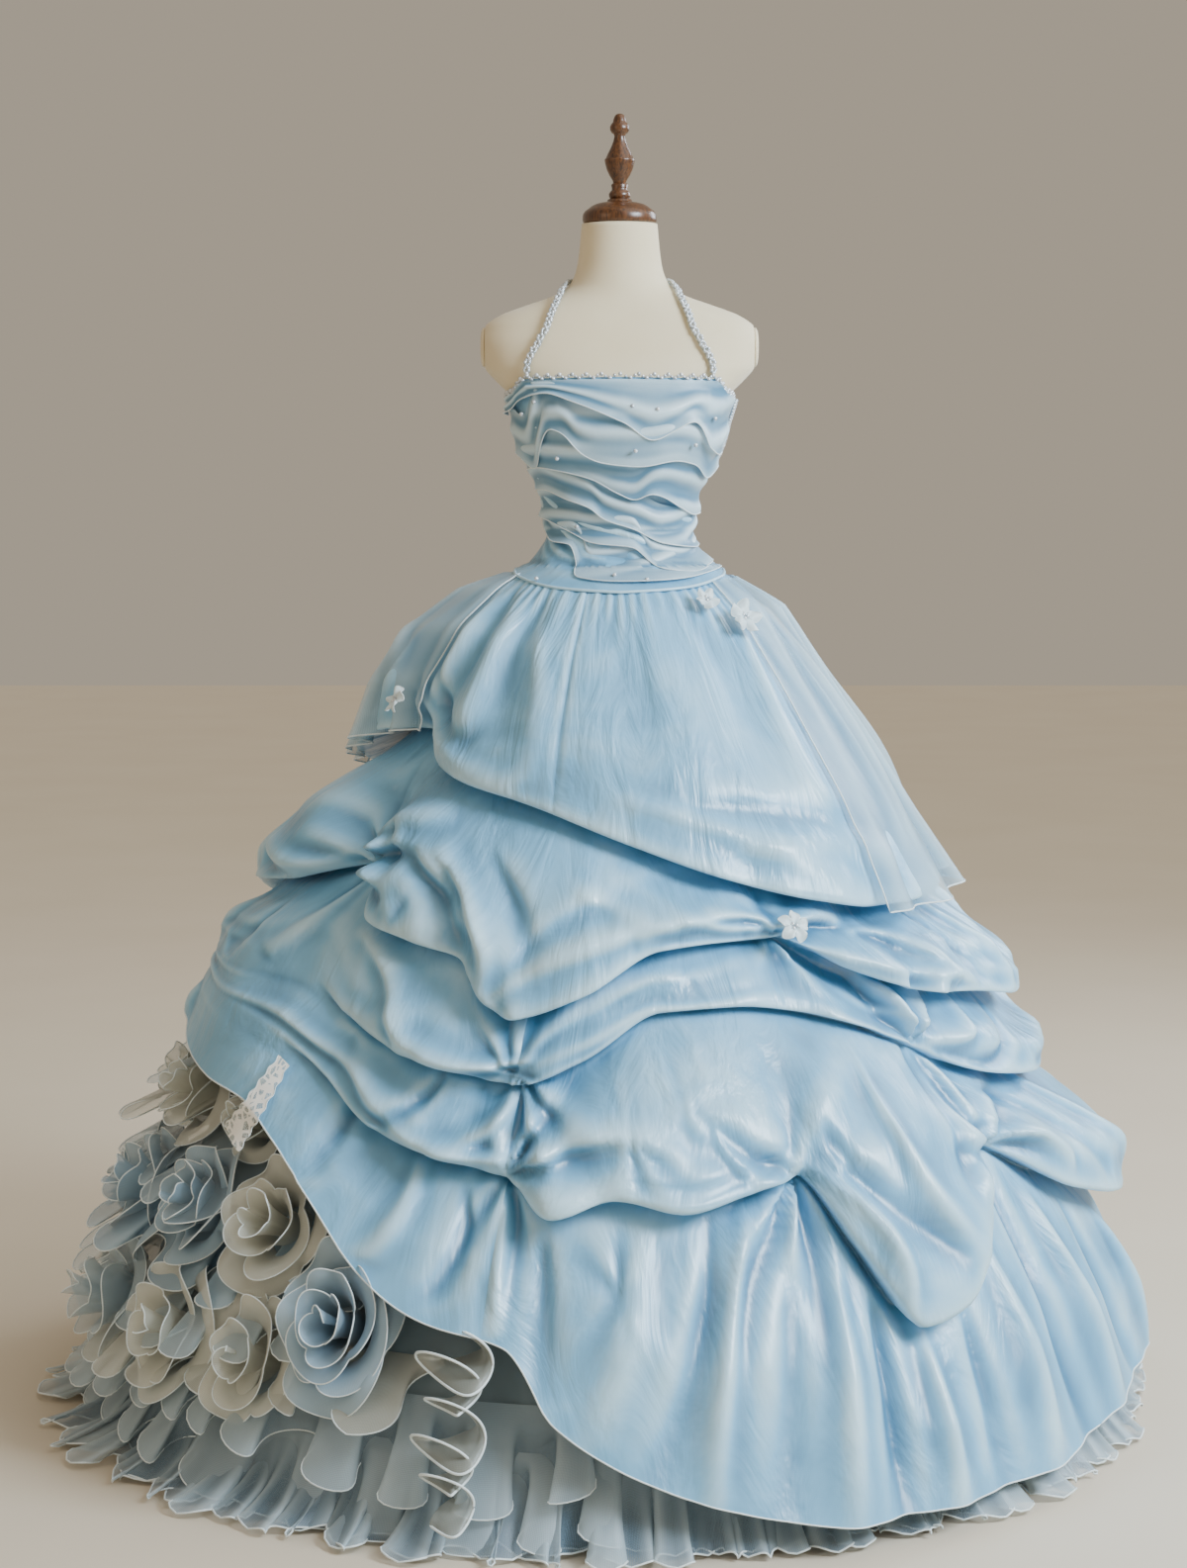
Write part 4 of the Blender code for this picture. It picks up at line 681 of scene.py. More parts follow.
def creased_out(phi, height, tier):
    """How far creases move the cloth outwards. A crease is a Gaussian across a bowed line that fades past its
    ends, and a tack is a wave in the angle about it, uneven from fold to fold, that rises from nothing at the
    tack as r * exp(-r) and has a dimple at its middle."""
    out = np.zeros(np.broadcast(phi, height, tier).shape)
    size = between(height, BELL[:, 0], BELL[:, 1]) + 0.03
    for row, a0, z0, a1, z1, bow, deep, wide in CREASES:
        u = np.radians((phi - a0 + 180) % 360 - 180) * size
        reach = math.radians((a1 - a0 + 180) % 360 - 180) * (between(0.5 * (z0 + z1), BELL[:, 0], BELL[:, 1]) + 0.03)
        t, side, past = about_line(u, height - z0, reach, z1 - z0, bow)
        open_out = 0.6 + 0.8 * np.clip(t, 0, 1)
        body = np.sin(math.pi * np.clip(0.12 + 0.80 * t, 0, 1)) ** 0.7
        out += deep * body * np.exp(-(side / (wide * open_out)) ** 2 - (past / 0.03) ** 2) * (tier == row)
    for k, (a0, z0, reach, deep) in enumerate(TACKS):
        u = np.radians((phi - a0 + 180) % 360 - 180) * size
        v = height - z0
        r = np.hypot(u, v) / reach
        way = np.arctan2(v, u)
        star = np.cos((5 + k % 3) * way + 2.0 * np.sin(2 * way + k) + 1.1 * np.sin(way + 3 * k) + k)
        star = star * (0.62 + 0.48 * np.sin(way + 2 * k)) * (1 + 0.35 * np.cos(3 * way + k))
        out += deep * star * r * np.exp(1 - r) - 0.5 * deep * np.exp(-(r / 0.3) ** 2)
    return out


def swagged(phi, s, row):
    """The cloth's own folds on a row of puffs, at s from 0 at its tuck to 1 at its fold. Swags are narrow crests
    along the fold that drift with the angle and deepen towards it. Gathers are crests down the cloth under the
    tuck, which lean and fade away. Slow sines of the angle make both uneven."""
    a = np.radians(phi)
    drift = 1.9 * np.sin(3 * a + 1.3 * row) + 1.3 * np.sin(7 * a + 2.1 * row) + 0.7 * np.sin(13 * a + row)
    wave = 0.5 + 0.5 * np.cos((13.0, 10.0, 7.5, 8.5, 3.0)[row] * s + drift)
    uneven = 0.55 + 0.45 * np.sin(5 * a + 1.7 * row) * np.sin(3 * a - 0.6 * row)
    swag = (0.003, 0.014, 0.011, 0.013, 0.002)[row] * (wave**2.2 - 0.35) * uneven * np.sin(math.pi * s**1.3) ** 0.8
    lean = (1.2, 2.4, 1.8, 2.6, 1.0)[row] * s * np.sin(4 * a + row)
    pipe = 0.5 + 0.5 * np.cos((22, 24, 26, 22, 17)[row] * a + 2.8 * np.sin(4 * a + 2 * row) + lean)
    fade = s ** 0.5 * np.exp(-((s / (0.45, 0.45, 0.5, 0.5, 1.3)[row]) ** 2))
    uneven = 0.6 + 0.4 * np.sin(4 * a + 2.2 * row) * np.sin(9 * a + row)
    return swag + (0.003, 0.008, 0.007, 0.007, 0.008)[row] * (pipe**1.5 - 0.35) * fade * uneven


COUNTS = (3, 4, 12, 15, 16, 6, 5, 10, 11, 11, 6, 5, 10, 11, 6, 5, 11, 11, 6, 5, 15, 16)
phi = np.linspace(-14.4, 345.6, 901)
wrapped = (phi + 180) % 360 - 180
cloth_rows, row_number = refined(skirt_rows(wrapped), COUNTS, 3)
tier = np.select([row_number < 6.6, row_number < 11.6, row_number < 15.6, row_number < 19.6], [0, 1, 2, 3], 4)
a = wrapped[:, None]
height = cloth_rows[..., 2]
pleats = (0.0016 * np.cos(np.radians(64 * a) + 1.9 * np.sin(np.radians(9 * a)))
          * np.exp(-((1.15 - height) / 0.05) ** 2) * (height > 1.05) * (height < 1.158))
out = 1.25 * creased_out(a, height, tier[None, :]) + pleats
stretch = ((0, 5), (7, 10), (12, 14), (16, 18), (20, 22))
for row, (first, last) in enumerate(stretch):
    share = np.clip((row_number - first) / (last - first), 0, 1)[None, :]
    out += swagged(a, share, row) * (tier == row)[None, :]
out *= np.clip((1.162 - height) / 0.03, 0, 1)
# The cloth never goes through the petticoat or the cloth behind it.
room = np.hypot(cloth_rows[..., 0], cloth_rows[..., 1]) - np.hypot(*np.moveaxis(bell(a, height, 0.003), -1, 0)[:2])
out = np.maximum(out, -0.85 * np.maximum(room, 0))
cloth_rows = cloth_rows + out[..., None] * np.stack([np.sin(np.radians(a)), -np.cos(np.radians(a)), 0 * a], axis=-1)
skirt_grid = cloth_rows
# These smoothed crests set the satin's painted highlight on the ridges and painted shade in the hollows.
skirt_crest = crest_of(skirt_grid)
for _ in range(2):
    skirt_crest[1:-1] = 0.25 * skirt_crest[:-2] + 0.5 * skirt_crest[1:-1] + 0.25 * skirt_crest[2:]
    skirt_crest[:, 1:-1] = 0.25 * skirt_crest[:, :-2] + 0.5 * skirt_crest[:, 1:-1] + 0.25 * skirt_crest[:, 2:]
GORES = (("front", -14.4, 57.6), ("left", 57.6, 130), ("back_left", 130, 202), ("back_right", 202, 273.6),
         ("right", 273.6, 345.6))
for name, first, last in GORES:
    inside = (phi >= first - 0.16) & (phi <= last + 0.16)
    panel = skirt_grid[inside]
    made = sheet_of(f"skirt_gore_{name}", panel, satin, edges=[panel[:, -1]], edge_finish=rolled,
                    edge_radius=0.0011, crest=skirt_crest[inside])
    placed(made, "satin_organza", f"overskirt_{name}")

# -----------------------------------------------------------------------------
# Hip veils: one layer of sheer organza over the top of the skirt at each hip, gathered at the waist and tacked at
# its corners, with a rolled edge.
# -----------------------------------------------------------------------------


def veil(first, last, stand, seed):
    """The apron's own form between two angles, moved out by a table of distances down it times a half sine wave
    across it, with gathers that fan out from the waist."""
    phi = np.linspace(first, last, 110)
    wrapped = (phi + 180) % 360 - 180
    rows = skirt_rows(wrapped)[:, 1:6]
    fine, t = refined(rows, (6, 11, 14, 14), 4)
    share = np.linspace(0, 1, 110)[:, None]
    off = np.interp(t, np.arange(5), stand)[None, :]
    arch = np.sin(math.pi * share) ** 0.8
    a = np.radians(wrapped)[:, None]
    down = (t / 4)[None, :]
    fold = np.cos(np.radians(wrapped)[:, None] * 34 + 2.2 * np.sin(9 * share + seed) + 2.0 * down + seed)
    curl = 0.012 * np.sin(31 * share + seed) * down**4
    move = 0.0060 + arch * off + (0.0035 + 0.009 * down) * fold * arch**0.5 + curl
    move = move + creased_out(wrapped[:, None], fine[..., 2], np.zeros(fine.shape[1])[None, :])
    return fine + move[..., None] * np.stack([np.sin(a), -np.cos(a), 0 * a], axis=-1)


for name, first, last, stand, seed in (("left", 49, 122.5, (0.0, 0.024, 0.012, 0.006, 0.004), 1.0),
                                       ("right", 244, 297, (0.0, 0.020, 0.016, 0.004, -0.004), 2.5)):
    grid = veil(first, last, stand, seed)
    made = sheet_of(f"hip_veil_sheer_{name}", grid, sheer_blue, edges=[grid[0], grid[-1], grid[:, -1]],
                    edge_finish=rolled, edge_radius=0.0012)
    placed(made, "sheer_organza", f"hip_veil_{name}")

# -----------------------------------------------------------------------------
# Bodice: a boned front and two backs of the satin organza over lining, seamed at the sides and closed at the centre
# back with an invisible zip. Its hem is a shallow basque point over the skirt.
# -----------------------------------------------------------------------------


def neckline(phi):
    """The height of the bodice's top edge: level across the bust, dipping under the arms."""
    return np.interp(np.abs(phi), (0, 44, 60, 90, 130, 180), (1.422, 1.420, 1.404, 1.392, 1.388, 1.388))


def basque(phi):
    """The height of the bodice's hem."""
    return between(np.abs(phi), np.array((0.0, 25, 60, 90, 181)), np.array((1.134, 1.139, 1.152, 1.160, 1.160)))


def bodice_face(phi, height, off=0.0):
    """The bodice's outer face: the form's surface 2.8 mm out and a little more over the bust, and the skirt's top
    below the waist. The greater of their two reaches is taken, rounded where they cross by k * h * (1 - h)."""
    body = torso(phi, height, 0.0028 + 0.0015 * np.clip((height - 1.36) / 0.03, 0, 1) + off)
    skirt = bell(phi, height, 0.0095 + 0.48 * (1.166 - height) + off)
    near, far = np.hypot(body[..., 0], body[..., 1]), np.hypot(skirt[..., 0], skirt[..., 1])
    k = 0.085 * np.clip((1.262 - height) / 0.07, 0.001, 1)
    far = np.where(height < 1.1665, far, near - 1.2 * (height - 1.1665) + 0.006)
    h = np.clip(0.5 + 0.5 * (far - near) / k, 0, 1)
    reach = near + (far - near) * h + 0.6 * k * h * (1 - h)
    return body * np.stack([reach / near, reach / near, np.ones_like(near)], axis=-1)


# Ruching: soft folds across the bodice. Each is: angle and height of its start and end, its bow, height, width.
RUCHES = (
    (-80, 1.300, 30, 1.225, 0.012, 0.0050, 0.006), (-82, 1.278, 10, 1.205, 0.010, 0.0055, 0.006),
    (-84, 1.252, -8, 1.190, 0.008, 0.0050, 0.006), (-50, 1.262, 60, 1.200, 0.010, -0.0040, 0.007),
    (-30, 1.280, 80, 1.225, 0.010, 0.0050, 0.007), (-10, 1.300, 84, 1.262, 0.008, 0.0045, 0.007),
    (-84, 1.228, -30, 1.176, 0.006, 0.0045, 0.006), (-40, 1.200, 40, 1.160, 0.010, 0.0045, 0.007),
    (0, 1.215, 82, 1.180, 0.010, 0.0045, 0.007), (20, 1.240, 84, 1.208, 0.008, -0.0035, 0.007),
    (-70, 1.195, -20, 1.155, 0.006, 0.0035, 0.008), (10, 1.180, 60, 1.160, 0.004, 0.0035, 0.008),
)
BODICE_RADIUS = 0.11
turn = np.linspace(-90, 270, 361)
wrapped = ((turn + 180) % 360 - 180)[:, None]
down = np.linspace(0, 1, 84)[None, :]
height = neckline(wrapped) + (basque(wrapped) - neckline(wrapped)) * down
ruche = np.zeros(height.shape)
for a0, z0, a1, z1, bow, deep, wide in RUCHES:
    u, reach = np.radians(wrapped - a0) * BODICE_RADIUS, math.radians(a1 - a0) * BODICE_RADIUS
    _, side, past = about_line(u, height - z0, reach, z1 - z0, -bow)
    ruche += deep * np.exp(-(side / wide) ** 2 - (past / 0.012) ** 2)
ruche *= (np.abs(wrapped) < 88) * np.clip((88 - np.abs(wrapped)) / 10, 0, 1) * np.clip((height - 1.146) / 0.02, 0, 1)
behind = np.clip((np.abs(wrapped) - 92) / 10, 0, 1) * np.clip((1.38 - height) / 0.02, 0, 1)
# Fine drag lines cross the two backs 33 mm apart, and a seam's furrow is 0.9 degrees wide.
back_drag = 0.0012 * behind * np.cos(height * 190 + 1.2 * np.sin(np.radians(3 * wrapped)))
back_drag *= np.clip((height - 1.17) / 0.02, 0, 1)
seam = -0.0012 * sum(np.exp(-(((np.abs(wrapped) - at) / 0.9) ** 2)) for at in (90, 128, 180))
face = bodice_face(wrapped, height, 0.0004 + ruche + back_drag + seam)
for name, start, end in (("front", 0, 180), ("back_left", 180, 270), ("back_right", 270, 360)):
    panel = face[start:end + 1]
    made = sheet_of(f"bodice_panel_{name}", panel, satin, edges=[panel[:, -1] + (0, 0, -0.0006)],
                    edge_finish=satin, edge_radius=0.0022)
    placed(made, "satin_organza", f"bodice_{name}")

# -----------------------------------------------------------------------------
# Bodice drapes: bias bands of organza laid across the front in soft folds, each lapping the one below, sewn into
# the side seams, with rolled edges that wave.
# -----------------------------------------------------------------------------

drape_silk = organza("organza_bodice", "5d8dab", "cfe8f3", 0.88)

# Each drape: name, its height above its edge at the two side seams, then its lower edge as angle and height.
DRAPES = (
    ("hip", 0.040, 0.030, ((-86, 1.236), (-75, 1.226), (-68, 1.212), (-54, 1.200), (-36, 1.196), (-27, 1.176),
                           (-20, 1.154), (0, 1.148), (20, 1.150), (50, 1.158), (86, 1.168))),
    ("low_waist", 0.046, 0.034, ((-86, 1.238), (-60, 1.228), (-35, 1.210), (-18, 1.198), (8, 1.192), (22, 1.164),
                                 (40, 1.160), (60, 1.168), (86, 1.178))),
    ("waist", 0.040, 0.044, ((-86, 1.270), (-62, 1.270), (-37, 1.257), (-19, 1.245), (-11, 1.231), (11, 1.215),
                             (31, 1.197), (60, 1.192), (86, 1.200))),
    ("under_bust", 0.046, 0.050, ((-86, 1.296), (-53, 1.300), (-35, 1.295), (-16, 1.284), (-2, 1.266), (9, 1.256),
                                  (19, 1.264), (45, 1.246), (66, 1.236), (86, 1.244))),
    ("bust", 0.062, 0.060, ((-86, 1.330), (-70, 1.316), (-56, 1.298), (-45, 1.326), (-36, 1.352), (-27, 1.344),
                            (-19, 1.319), (-8, 1.306), (9, 1.301), (31, 1.309), (47, 1.304), (64, 1.286),
                            (78, 1.306), (86, 1.312))),
    ("neckline", 0.060, 0.080, ((-86, 1.372), (-66, 1.378), (-53, 1.392), (-33, 1.400), (-19, 1.388), (-2, 1.366),
                                (14, 1.336), (26, 1.350), (36, 1.362), (52, 1.326), (68, 1.318), (86, 1.330))),
)
phi = np.linspace(-85, 85, 200)[:, None]
down = np.linspace(0, 1, 26)[None, :]
for k, (name, right, left, edge) in enumerate(DRAPES):
    low = between(phi, *np.array(edge, float).T)
    low = 0.5 * low + 0.25 * (np.roll(low, 3, 0) + np.roll(low, -3, 0)) * (np.abs(phi) < 80) \
        + 0.5 * low * (np.abs(phi) >= 80)
    top = np.minimum(low + right + (left - right) * (phi + 85) / 170 + 0.010, neckline(phi) - 0.003)
    top = np.maximum(top, low + 0.012)
    wave = np.sin(np.radians(phi * 5.2) + 1.9 * k)
    pleat = 0.5 + 0.5 * np.cos(9.5 * down + 0.05 * phi + 2.2 * np.sin(np.radians(2.2 * phi) + 2 * k) + 1.7 * k)
    off = (0.0032 + 0.0011 * k + 0.0058 * (pleat**1.6 - 0.3) * np.sin(math.pi * down) ** 0.7
           + (0.003 + 0.006 * (0.5 + 0.5 * wave)) * down**3)
    off = np.maximum(off, 0.0012) * (0.30 + 0.70 * np.clip((85 - np.abs(phi)) / 10, 0, 1))
    height = top + (low - top) * down
    grid = bodice_face(phi, height, off)
    made = sheet_of(f"bodice_drape_{name}", grid, drape_silk, edges=[grid[:, -1]], edge_finish=rolled,
                    edge_radius=0.0008)
    placed(made, "sheer_organza", f"drape_{name}")

# -----------------------------------------------------------------------------
# Neckline trim, halter straps and crystals: glass pearls and faceted beads strung two abreast along the top edge
# and down the wearer's left side, and on a ribbon that goes up each side of the neck. Crystals dot the drapes.
# -----------------------------------------------------------------------------

# Glass beads, silver lined: they give small hard sparkles on near white.
glass, tree, shader = new_finish("silver_lined_glass", Roughness=0.12, Coat_Weight=0.6, Coat_Roughness=0.05)
place = add(tree, "ShaderNodeTexCoord").outputs["Object"]
each = add(tree, "ShaderNodeTexVoronoi", {"Vector": place, "Scale": 230.0})
tree.links.new(blended(tree, each.outputs["Distance"], "f4f7fa", "a9b8c4"), shader.inputs["Base Color"])
lining = add(tree, "ShaderNodeMapRange", {"Value": each.outputs["Distance"], "To Min": 0.15, "To Max": 0.55})
tree.links.new(lining.outputs["Result"], shader.inputs["Metallic"])


def beads(name, places, sizes, slot, *nodes):
    """One mesh of many small beads: eight-sided balls of five rings, at the places and of the radii given."""
    lat = np.radians(np.array((-90, -45, 0, 45, 90)))[:, None]
    lon = (np.arange(8) * 2 * math.pi / 8)[None, :]
    ball = np.stack([np.cos(lat) * np.cos(lon), np.cos(lat) * np.sin(lon), np.sin(lat) + 0 * lon], axis=-1)
    ball = ball.reshape(-1, 3)
    i, j = np.meshgrid(np.arange(4), np.arange(8), indexing="ij")
    quads = np.stack([i * 8 + j, i * 8 + (j + 1) % 8, (i + 1) * 8 + (j + 1) % 8, (i + 1) * 8 + j], axis=-1)
    quads = quads.reshape(-1, 4)
    count = len(places)
    points = (places[:, None] + ball[None] * np.asarray(sizes)[:, None, None]).reshape(-1, 3)
    faces = (quads[None] + 40 * np.arange(count)[:, None, None]).reshape(-1, 4)
    mesh = bpy.data.meshes.new(name)
    mesh.from_pydata(points, [], faces.tolist())
    mesh.materials.append(glass)
    mesh.shade_smooth()
    made = bpy.data.objects.new(name, mesh)
    bpy.context.scene.collection.objects.link(made)
    merged = bmesh.new()
    merged.from_mesh(mesh)
    bmesh.ops.remove_doubles(merged, verts=merged.verts, dist=0.00002)
    merged.to_mesh(mesh)
    merged.free()
    return placed(made, slot, *nodes)


phi = np.linspace(-180, 180, 241)[:-1]
edge = bodice_face(phi, neckline(phi), 0.0032)
zigzag = np.tile((1.0, -0.2, -1.0, 0.4), 60)
edge[:, 2] += 0.0016 + 0.0026 * zigzag
phi = np.full(44, 82.0) + 1.2 * np.tile((1.0, -1.0), 22)
side = bodice_face(phi, np.linspace(1.392, 1.305, 44), 0.008)
beads("neckline_beads", np.concatenate([edge, side]), np.tile((0.0031, 0.0023), 142), "bead_trim", "neckline_trim")

# The halter straps: height, angle of the form's section.
STRAP = np.array(((1.4275, 41), (1.450, 36), (1.470, 31), (1.492, 29), (1.508, 31), (1.522, 39), (1.536, 58),
                  (1.547, 80), (1.553, 104), (1.557, 130), (1.559, 155), (1.559, 179.4)))
steps = np.arange(len(STRAP))
fine = np.linspace(0, len(STRAP) - 1, 160)
height, phi = between(fine, steps, STRAP[:, 0]), between(fine, steps, STRAP[:, 1])
rise = np.cross(torso(phi + 1, height) - torso(phi - 1, height),
                torso(phi, height + 0.003) - torso(phi, height - 0.003))
rise /= np.linalg.norm(rise, axis=1, keepdims=True)
line = torso(phi, height) + 0.0040 * rise
across = np.cross(np.gradient(line, axis=0), rise)
across /= np.linalg.norm(across, axis=1, keepdims=True)
for side, name in ((1, "left"), (-1, "right")):
    flip = np.array([side, 1, 1])
    share = np.linspace(-1, 1, 5)[None, :, None]
    band = (line[:, None] + 0.0048 * share * across[:, None] + 0.0006 * rise[:, None]) * flip
    band = band if side < 0 else band[:, ::-1]
    placed(sheet_of(f"halter_ribbon_{name}", band, sheer_pale), "bead_trim", f"halter_{name}")
    sway = np.sin(np.arange(160) * 0.55)[:, None]
    strung = np.concatenate([line + 0.0034 * sway * across + 0.0022 * rise,
                             line[::2] - 0.0034 * sway[::2] * across[::2] + 0.0022 * rise[::2]]) * flip
    beads(f"halter_beads_{name}", strung, np.concatenate([np.full(160, 0.0020), np.full(80, 0.0027)]), "bead_trim")

# Crystals sewn on the drapes: angle, height, and how far they stand off the bodice.
CRYSTALS = np.array(((-42, 1.388, 0.0130), (-54, 1.372, 0.0130), (4, 1.382, 0.0130), (15, 1.378, 0.0130),
                     (-34, 1.312, 0.0150), (-30, 1.220, 0.0125), (6, 1.322, 0.0150), (40, 1.330, 0.0140),
                     (-40, 1.150, 0.0080), (-2, 1.156, 0.0100), (10, 1.150, 0.0100), (52, 1.366, 0.0130)))
beads("bodice_crystals", bodice_face(CRYSTALS[:, 0], CRYSTALS[:, 1], CRYSTALS[:, 2]), np.full(12, 0.0032), "bead_trim")

# -----------------------------------------------------------------------------
# Rosettes: each is a rose of organza ribbon gathered along one edge and wound outwards from its heart, with a
# rolled lip that waves and turns back. They are sewn to the petticoat in rows, where the overskirt is caught up.
# -----------------------------------------------------------------------------

rose_blue = organza("organza_slate_blue", "4f6d84", "abc6d8", 0.74, 0.3)
rose_cream = organza("organza_ivory", "8d9088", "dcdfd4", 0.62, 0.3)


def local_axes(phi, height):
    """A place on the petticoat's bell and its axes there: across, up and out."""
    across = bell(phi + 0.5, height) - bell(phi - 0.5, height)
    up = bell(phi, height + 0.005) - bell(phi, height - 0.005)
    across, up = across / np.linalg.norm(across), up / np.linalg.norm(up)
    return bell(phi, height), across, up, np.cross(across, up)


def rose(phi, height, wide, tall, deep, turns, seed):
    """A ribbon wound outwards: the angle grows evenly and the root's reach with it. Its inner turns climb to the
    depth and stand upright, and its outer turns open flat. Petals are the arches of a sine's size in the lip's
    reach, and slow flutes bend it in and out."""
    centre, across, up, out = local_axes(phi, height)
    wound = np.linspace(0, 1, int(turns * 140))[:, None]
    rise = np.linspace(0, 1, 10)[None, :]
    angle = wound * turns * 2 * math.pi * 1.7 + seed
    petal = np.abs(np.sin(1.21 * angle + seed)) ** 0.7
    flute = np.sin(4.3 * angle + 2 * np.sin(0.9 * angle) + seed)
    root = 0.03 + 0.42 * wound**0.9
    lip = 0.09 + (0.66 + 0.36 * petal) * wound**0.85
    reach = root + (lip - root) * rise ** (1.9 - 0.8 * wound) + 0.05 * flute * wound * rise**3
    climb = (1 - 0.72 * wound**1.2) * rise**0.8 + 0.20 * wound * np.sin(math.pi * rise)
    climb = deep * (climb + (0.16 * petal - 0.08) * rise**2 + 0.15 * flute * wound * rise**2)
    return (centre + (wide * reach * np.cos(angle))[..., None] * across
            + (tall * reach * np.sin(angle))[..., None] * up + (0.002 + climb)[..., None] * out)


# Each rosette: name, angle, height, half width, half height, depth, turns of ribbon, cream or blue.
ROSETTES = (
    ("blue_rose", -31.0, 0.232, 0.084, 0.104, 0.085, 3.2, rose_blue),
    ("cream_rose", -44.0, 0.325, 0.088, 0.084, 0.078, 2.3, rose_cream),
    ("blue_bud", -58.5, 0.322, 0.079, 0.080, 0.088, 3.0, rose_blue),
    ("cream_fan", -56.5, 0.172, 0.100, 0.096, 0.085, 2.2, rose_cream),
    ("upper_cream", -55.0, 0.434, 0.058, 0.052, 0.070, 1.8, rose_cream),
    ("upper_side", -74.5, 0.432, 0.078, 0.070, 0.090, 2.2, rose_cream),
    ("side_bud", -74.5, 0.300, 0.090, 0.088, 0.105, 2.6, rose_blue),
    ("side_fan", -74.0, 0.158, 0.098, 0.088, 0.110, 2.2, sheer_pale),
    ("low_cream", -42.5, 0.172, 0.076, 0.092, 0.070, 2.0, rose_cream),
    ("rear_upper", -94.5, 0.410, 0.086, 0.083, 0.090, 2.4, rose_cream),
    ("rear_bud", -93.0, 0.262, 0.090, 0.084, 0.095, 2.4, rose_blue),
    ("rear_low", -91.0, 0.130, 0.080, 0.070, 0.090, 2.2, sheer_pale),
    ("back_low", -110.5, 0.190, 0.090, 0.090, 0.080, 2.4, rose_cream),
)
for k, (name, phi, height, wide, tall, deep, turns, finish) in enumerate(ROSETTES):
    grid = rose(phi, height, 1.12 * wide, 1.12 * tall, 1.1 * deep, turns, 1.7 * k)
    # The ribbons are painted darker at their roots, deep in the rose, and lighter out to the lip: painted shade, mixed
    # half and half with the crests' painted highlight and shade.
    painted_depth_shade = np.linspace(0.05, 0.95, 10)[None, :] ** 0.8
    made = sheet_of(f"ribbon_{name}", grid, finish, edges=[grid[:, -1]], edge_finish=rolled, edge_radius=0.0009,
                    crest=0.5 * painted_depth_shade + 0.5 * crest_of(grid))
    placed(made, "sheer_organza", f"rosette_{name}")

# Between and under the roses, rows of loose ribbon ruffles fill the petticoat. Each row: the height where it is
# sewn, its drop, its first and last angle, the number of waves in a full circle, blue, pale or ivory.
RUFFLES = (
    (0.530, 0.050, -118, -72, 44, sheer_pale), (0.475, 0.060, -122, -62, 40, rose_cream),
    (0.410, 0.070, -124, -50, 46, sheer_pale), (0.345, 0.075, -126, -40, 42, rose_blue),
    (0.280, 0.080, -128, -30, 48, sheer_pale), (0.215, 0.080, -130, -20, 43, rose_cream),
    (0.170, 0.085, -132, 0, 47, sheer_pale), (0.115, 0.085, -132, 6, 41, sheer_pale),
)
for k, (sewn, drop, first, last, waves, finish) in enumerate(RUFFLES):
    phi = np.linspace(first, last, 3 * (last - first))[:, None]
    down = np.linspace(0, 1, 11)[None, :]
    a = np.radians(phi)
    turn = waves * a + 1.6 * np.sin(6 * a + k) + 0.9 * np.sin(14 * a + 2 * k)
    wave, curl = np.cos(turn), np.sin(2 * turn + 0.8 * np.sin(5 * a + k))
    stand = np.interp(phi, (-125, -100, -80, -62, -40, -10), (0.045, 0.085, 0.095, 0.070, 0.045, 0.035))
    stand = stand * np.interp(sewn, (0.10, 0.30, 0.53), (0.55, 0.95, 1.15))
    stand = stand * (0.85 + 0.25 * np.sin(9 * a + 2.3 * k))
    taper = np.clip(np.minimum(phi - first, last - phi) / 7, 0.02, 1) ** 0.6
    off = 0.004 + (stand * down**0.8 + 0.026 * wave * down**1.2) * taper
    height = sewn - taper * drop * down * (1.0 + 0.22 * np.sin(turn + 1.1)) + 0.020 * np.sin(5 * a + k) * down
    height = np.maximum(height, 0.006)
    grid = bell(phi + 1.3 * curl * down**1.2, height, off)
    made = sheet_of(f"ruffle_row_{k + 1}", grid, finish, edges=[grid[:, -1]], edge_finish=rolled,
                    edge_radius=0.0010)
    placed(made, "sheer_organza")

# -----------------------------------------------------------------------------
# Jabot: an ivory organza ribbon folded to and fro down the front of the rosettes, with a thick rolled edge.
# -----------------------------------------------------------------------------

centre, across, up, out = local_axes(-16.5, 0.150)
along = np.linspace(0, 1, 400)[:, None]
rise = np.linspace(0, 1, 11)[None, :]
bend = along * 9 * math.pi + 0.9 * np.sin(7 * along)
loose = 0.75 + 0.25 * np.sin(13 * along + 0.5)
swing = 0.050 * np.sin(bend) * (0.25 + 0.75 * rise) * loose + 0.010 * np.sin(2 * bend + 1) * rise**2
climb = 0.190 * (0.5 - along) + (0.034 * np.cos(bend + 0.5) * loose - 0.016) * rise**1.3
reach = 0.003 + 0.060 * np.sin(0.5 * math.pi * rise) + 0.014 * np.cos(2 * bend + 0.6) * rise**2
grid = centre + swing[..., None] * across + climb[..., None] * up + reach[..., None] * out
jabot = sheet_of("jabot_ribbon", grid, rose_cream, edges=[grid[:, -1]], edge_finish=rolled, edge_radius=0.0017)
placed(jabot, "sheer_organza", "jabot")

# -----------------------------------------------------------------------------
# Silk flowers: five petals of pale blue silk round a bead, sewn over the tacks.
# -----------------------------------------------------------------------------

# Silk habotai, heat formed: pale petals with a soft sheen, in faint random clouds of tone.
silk, tree, shader = new_finish("formed_silk", Roughness=0.45, Sheen_Weight=0.4)
place = add(tree, "ShaderNodeTexCoord").outputs["Object"]
cloudy = noise(tree, place, 60.0, 3.0)
tree.links.new(blended(tree, cloudy.outputs["Fac"], "b9d5e0", "e8f3f6"), shader.inputs["Base Color"])
crepe = noise(tree, place, 700.0, 2.0)
bumped(tree, shader, crepe.outputs["Fac"], 0.2, 0.0004)

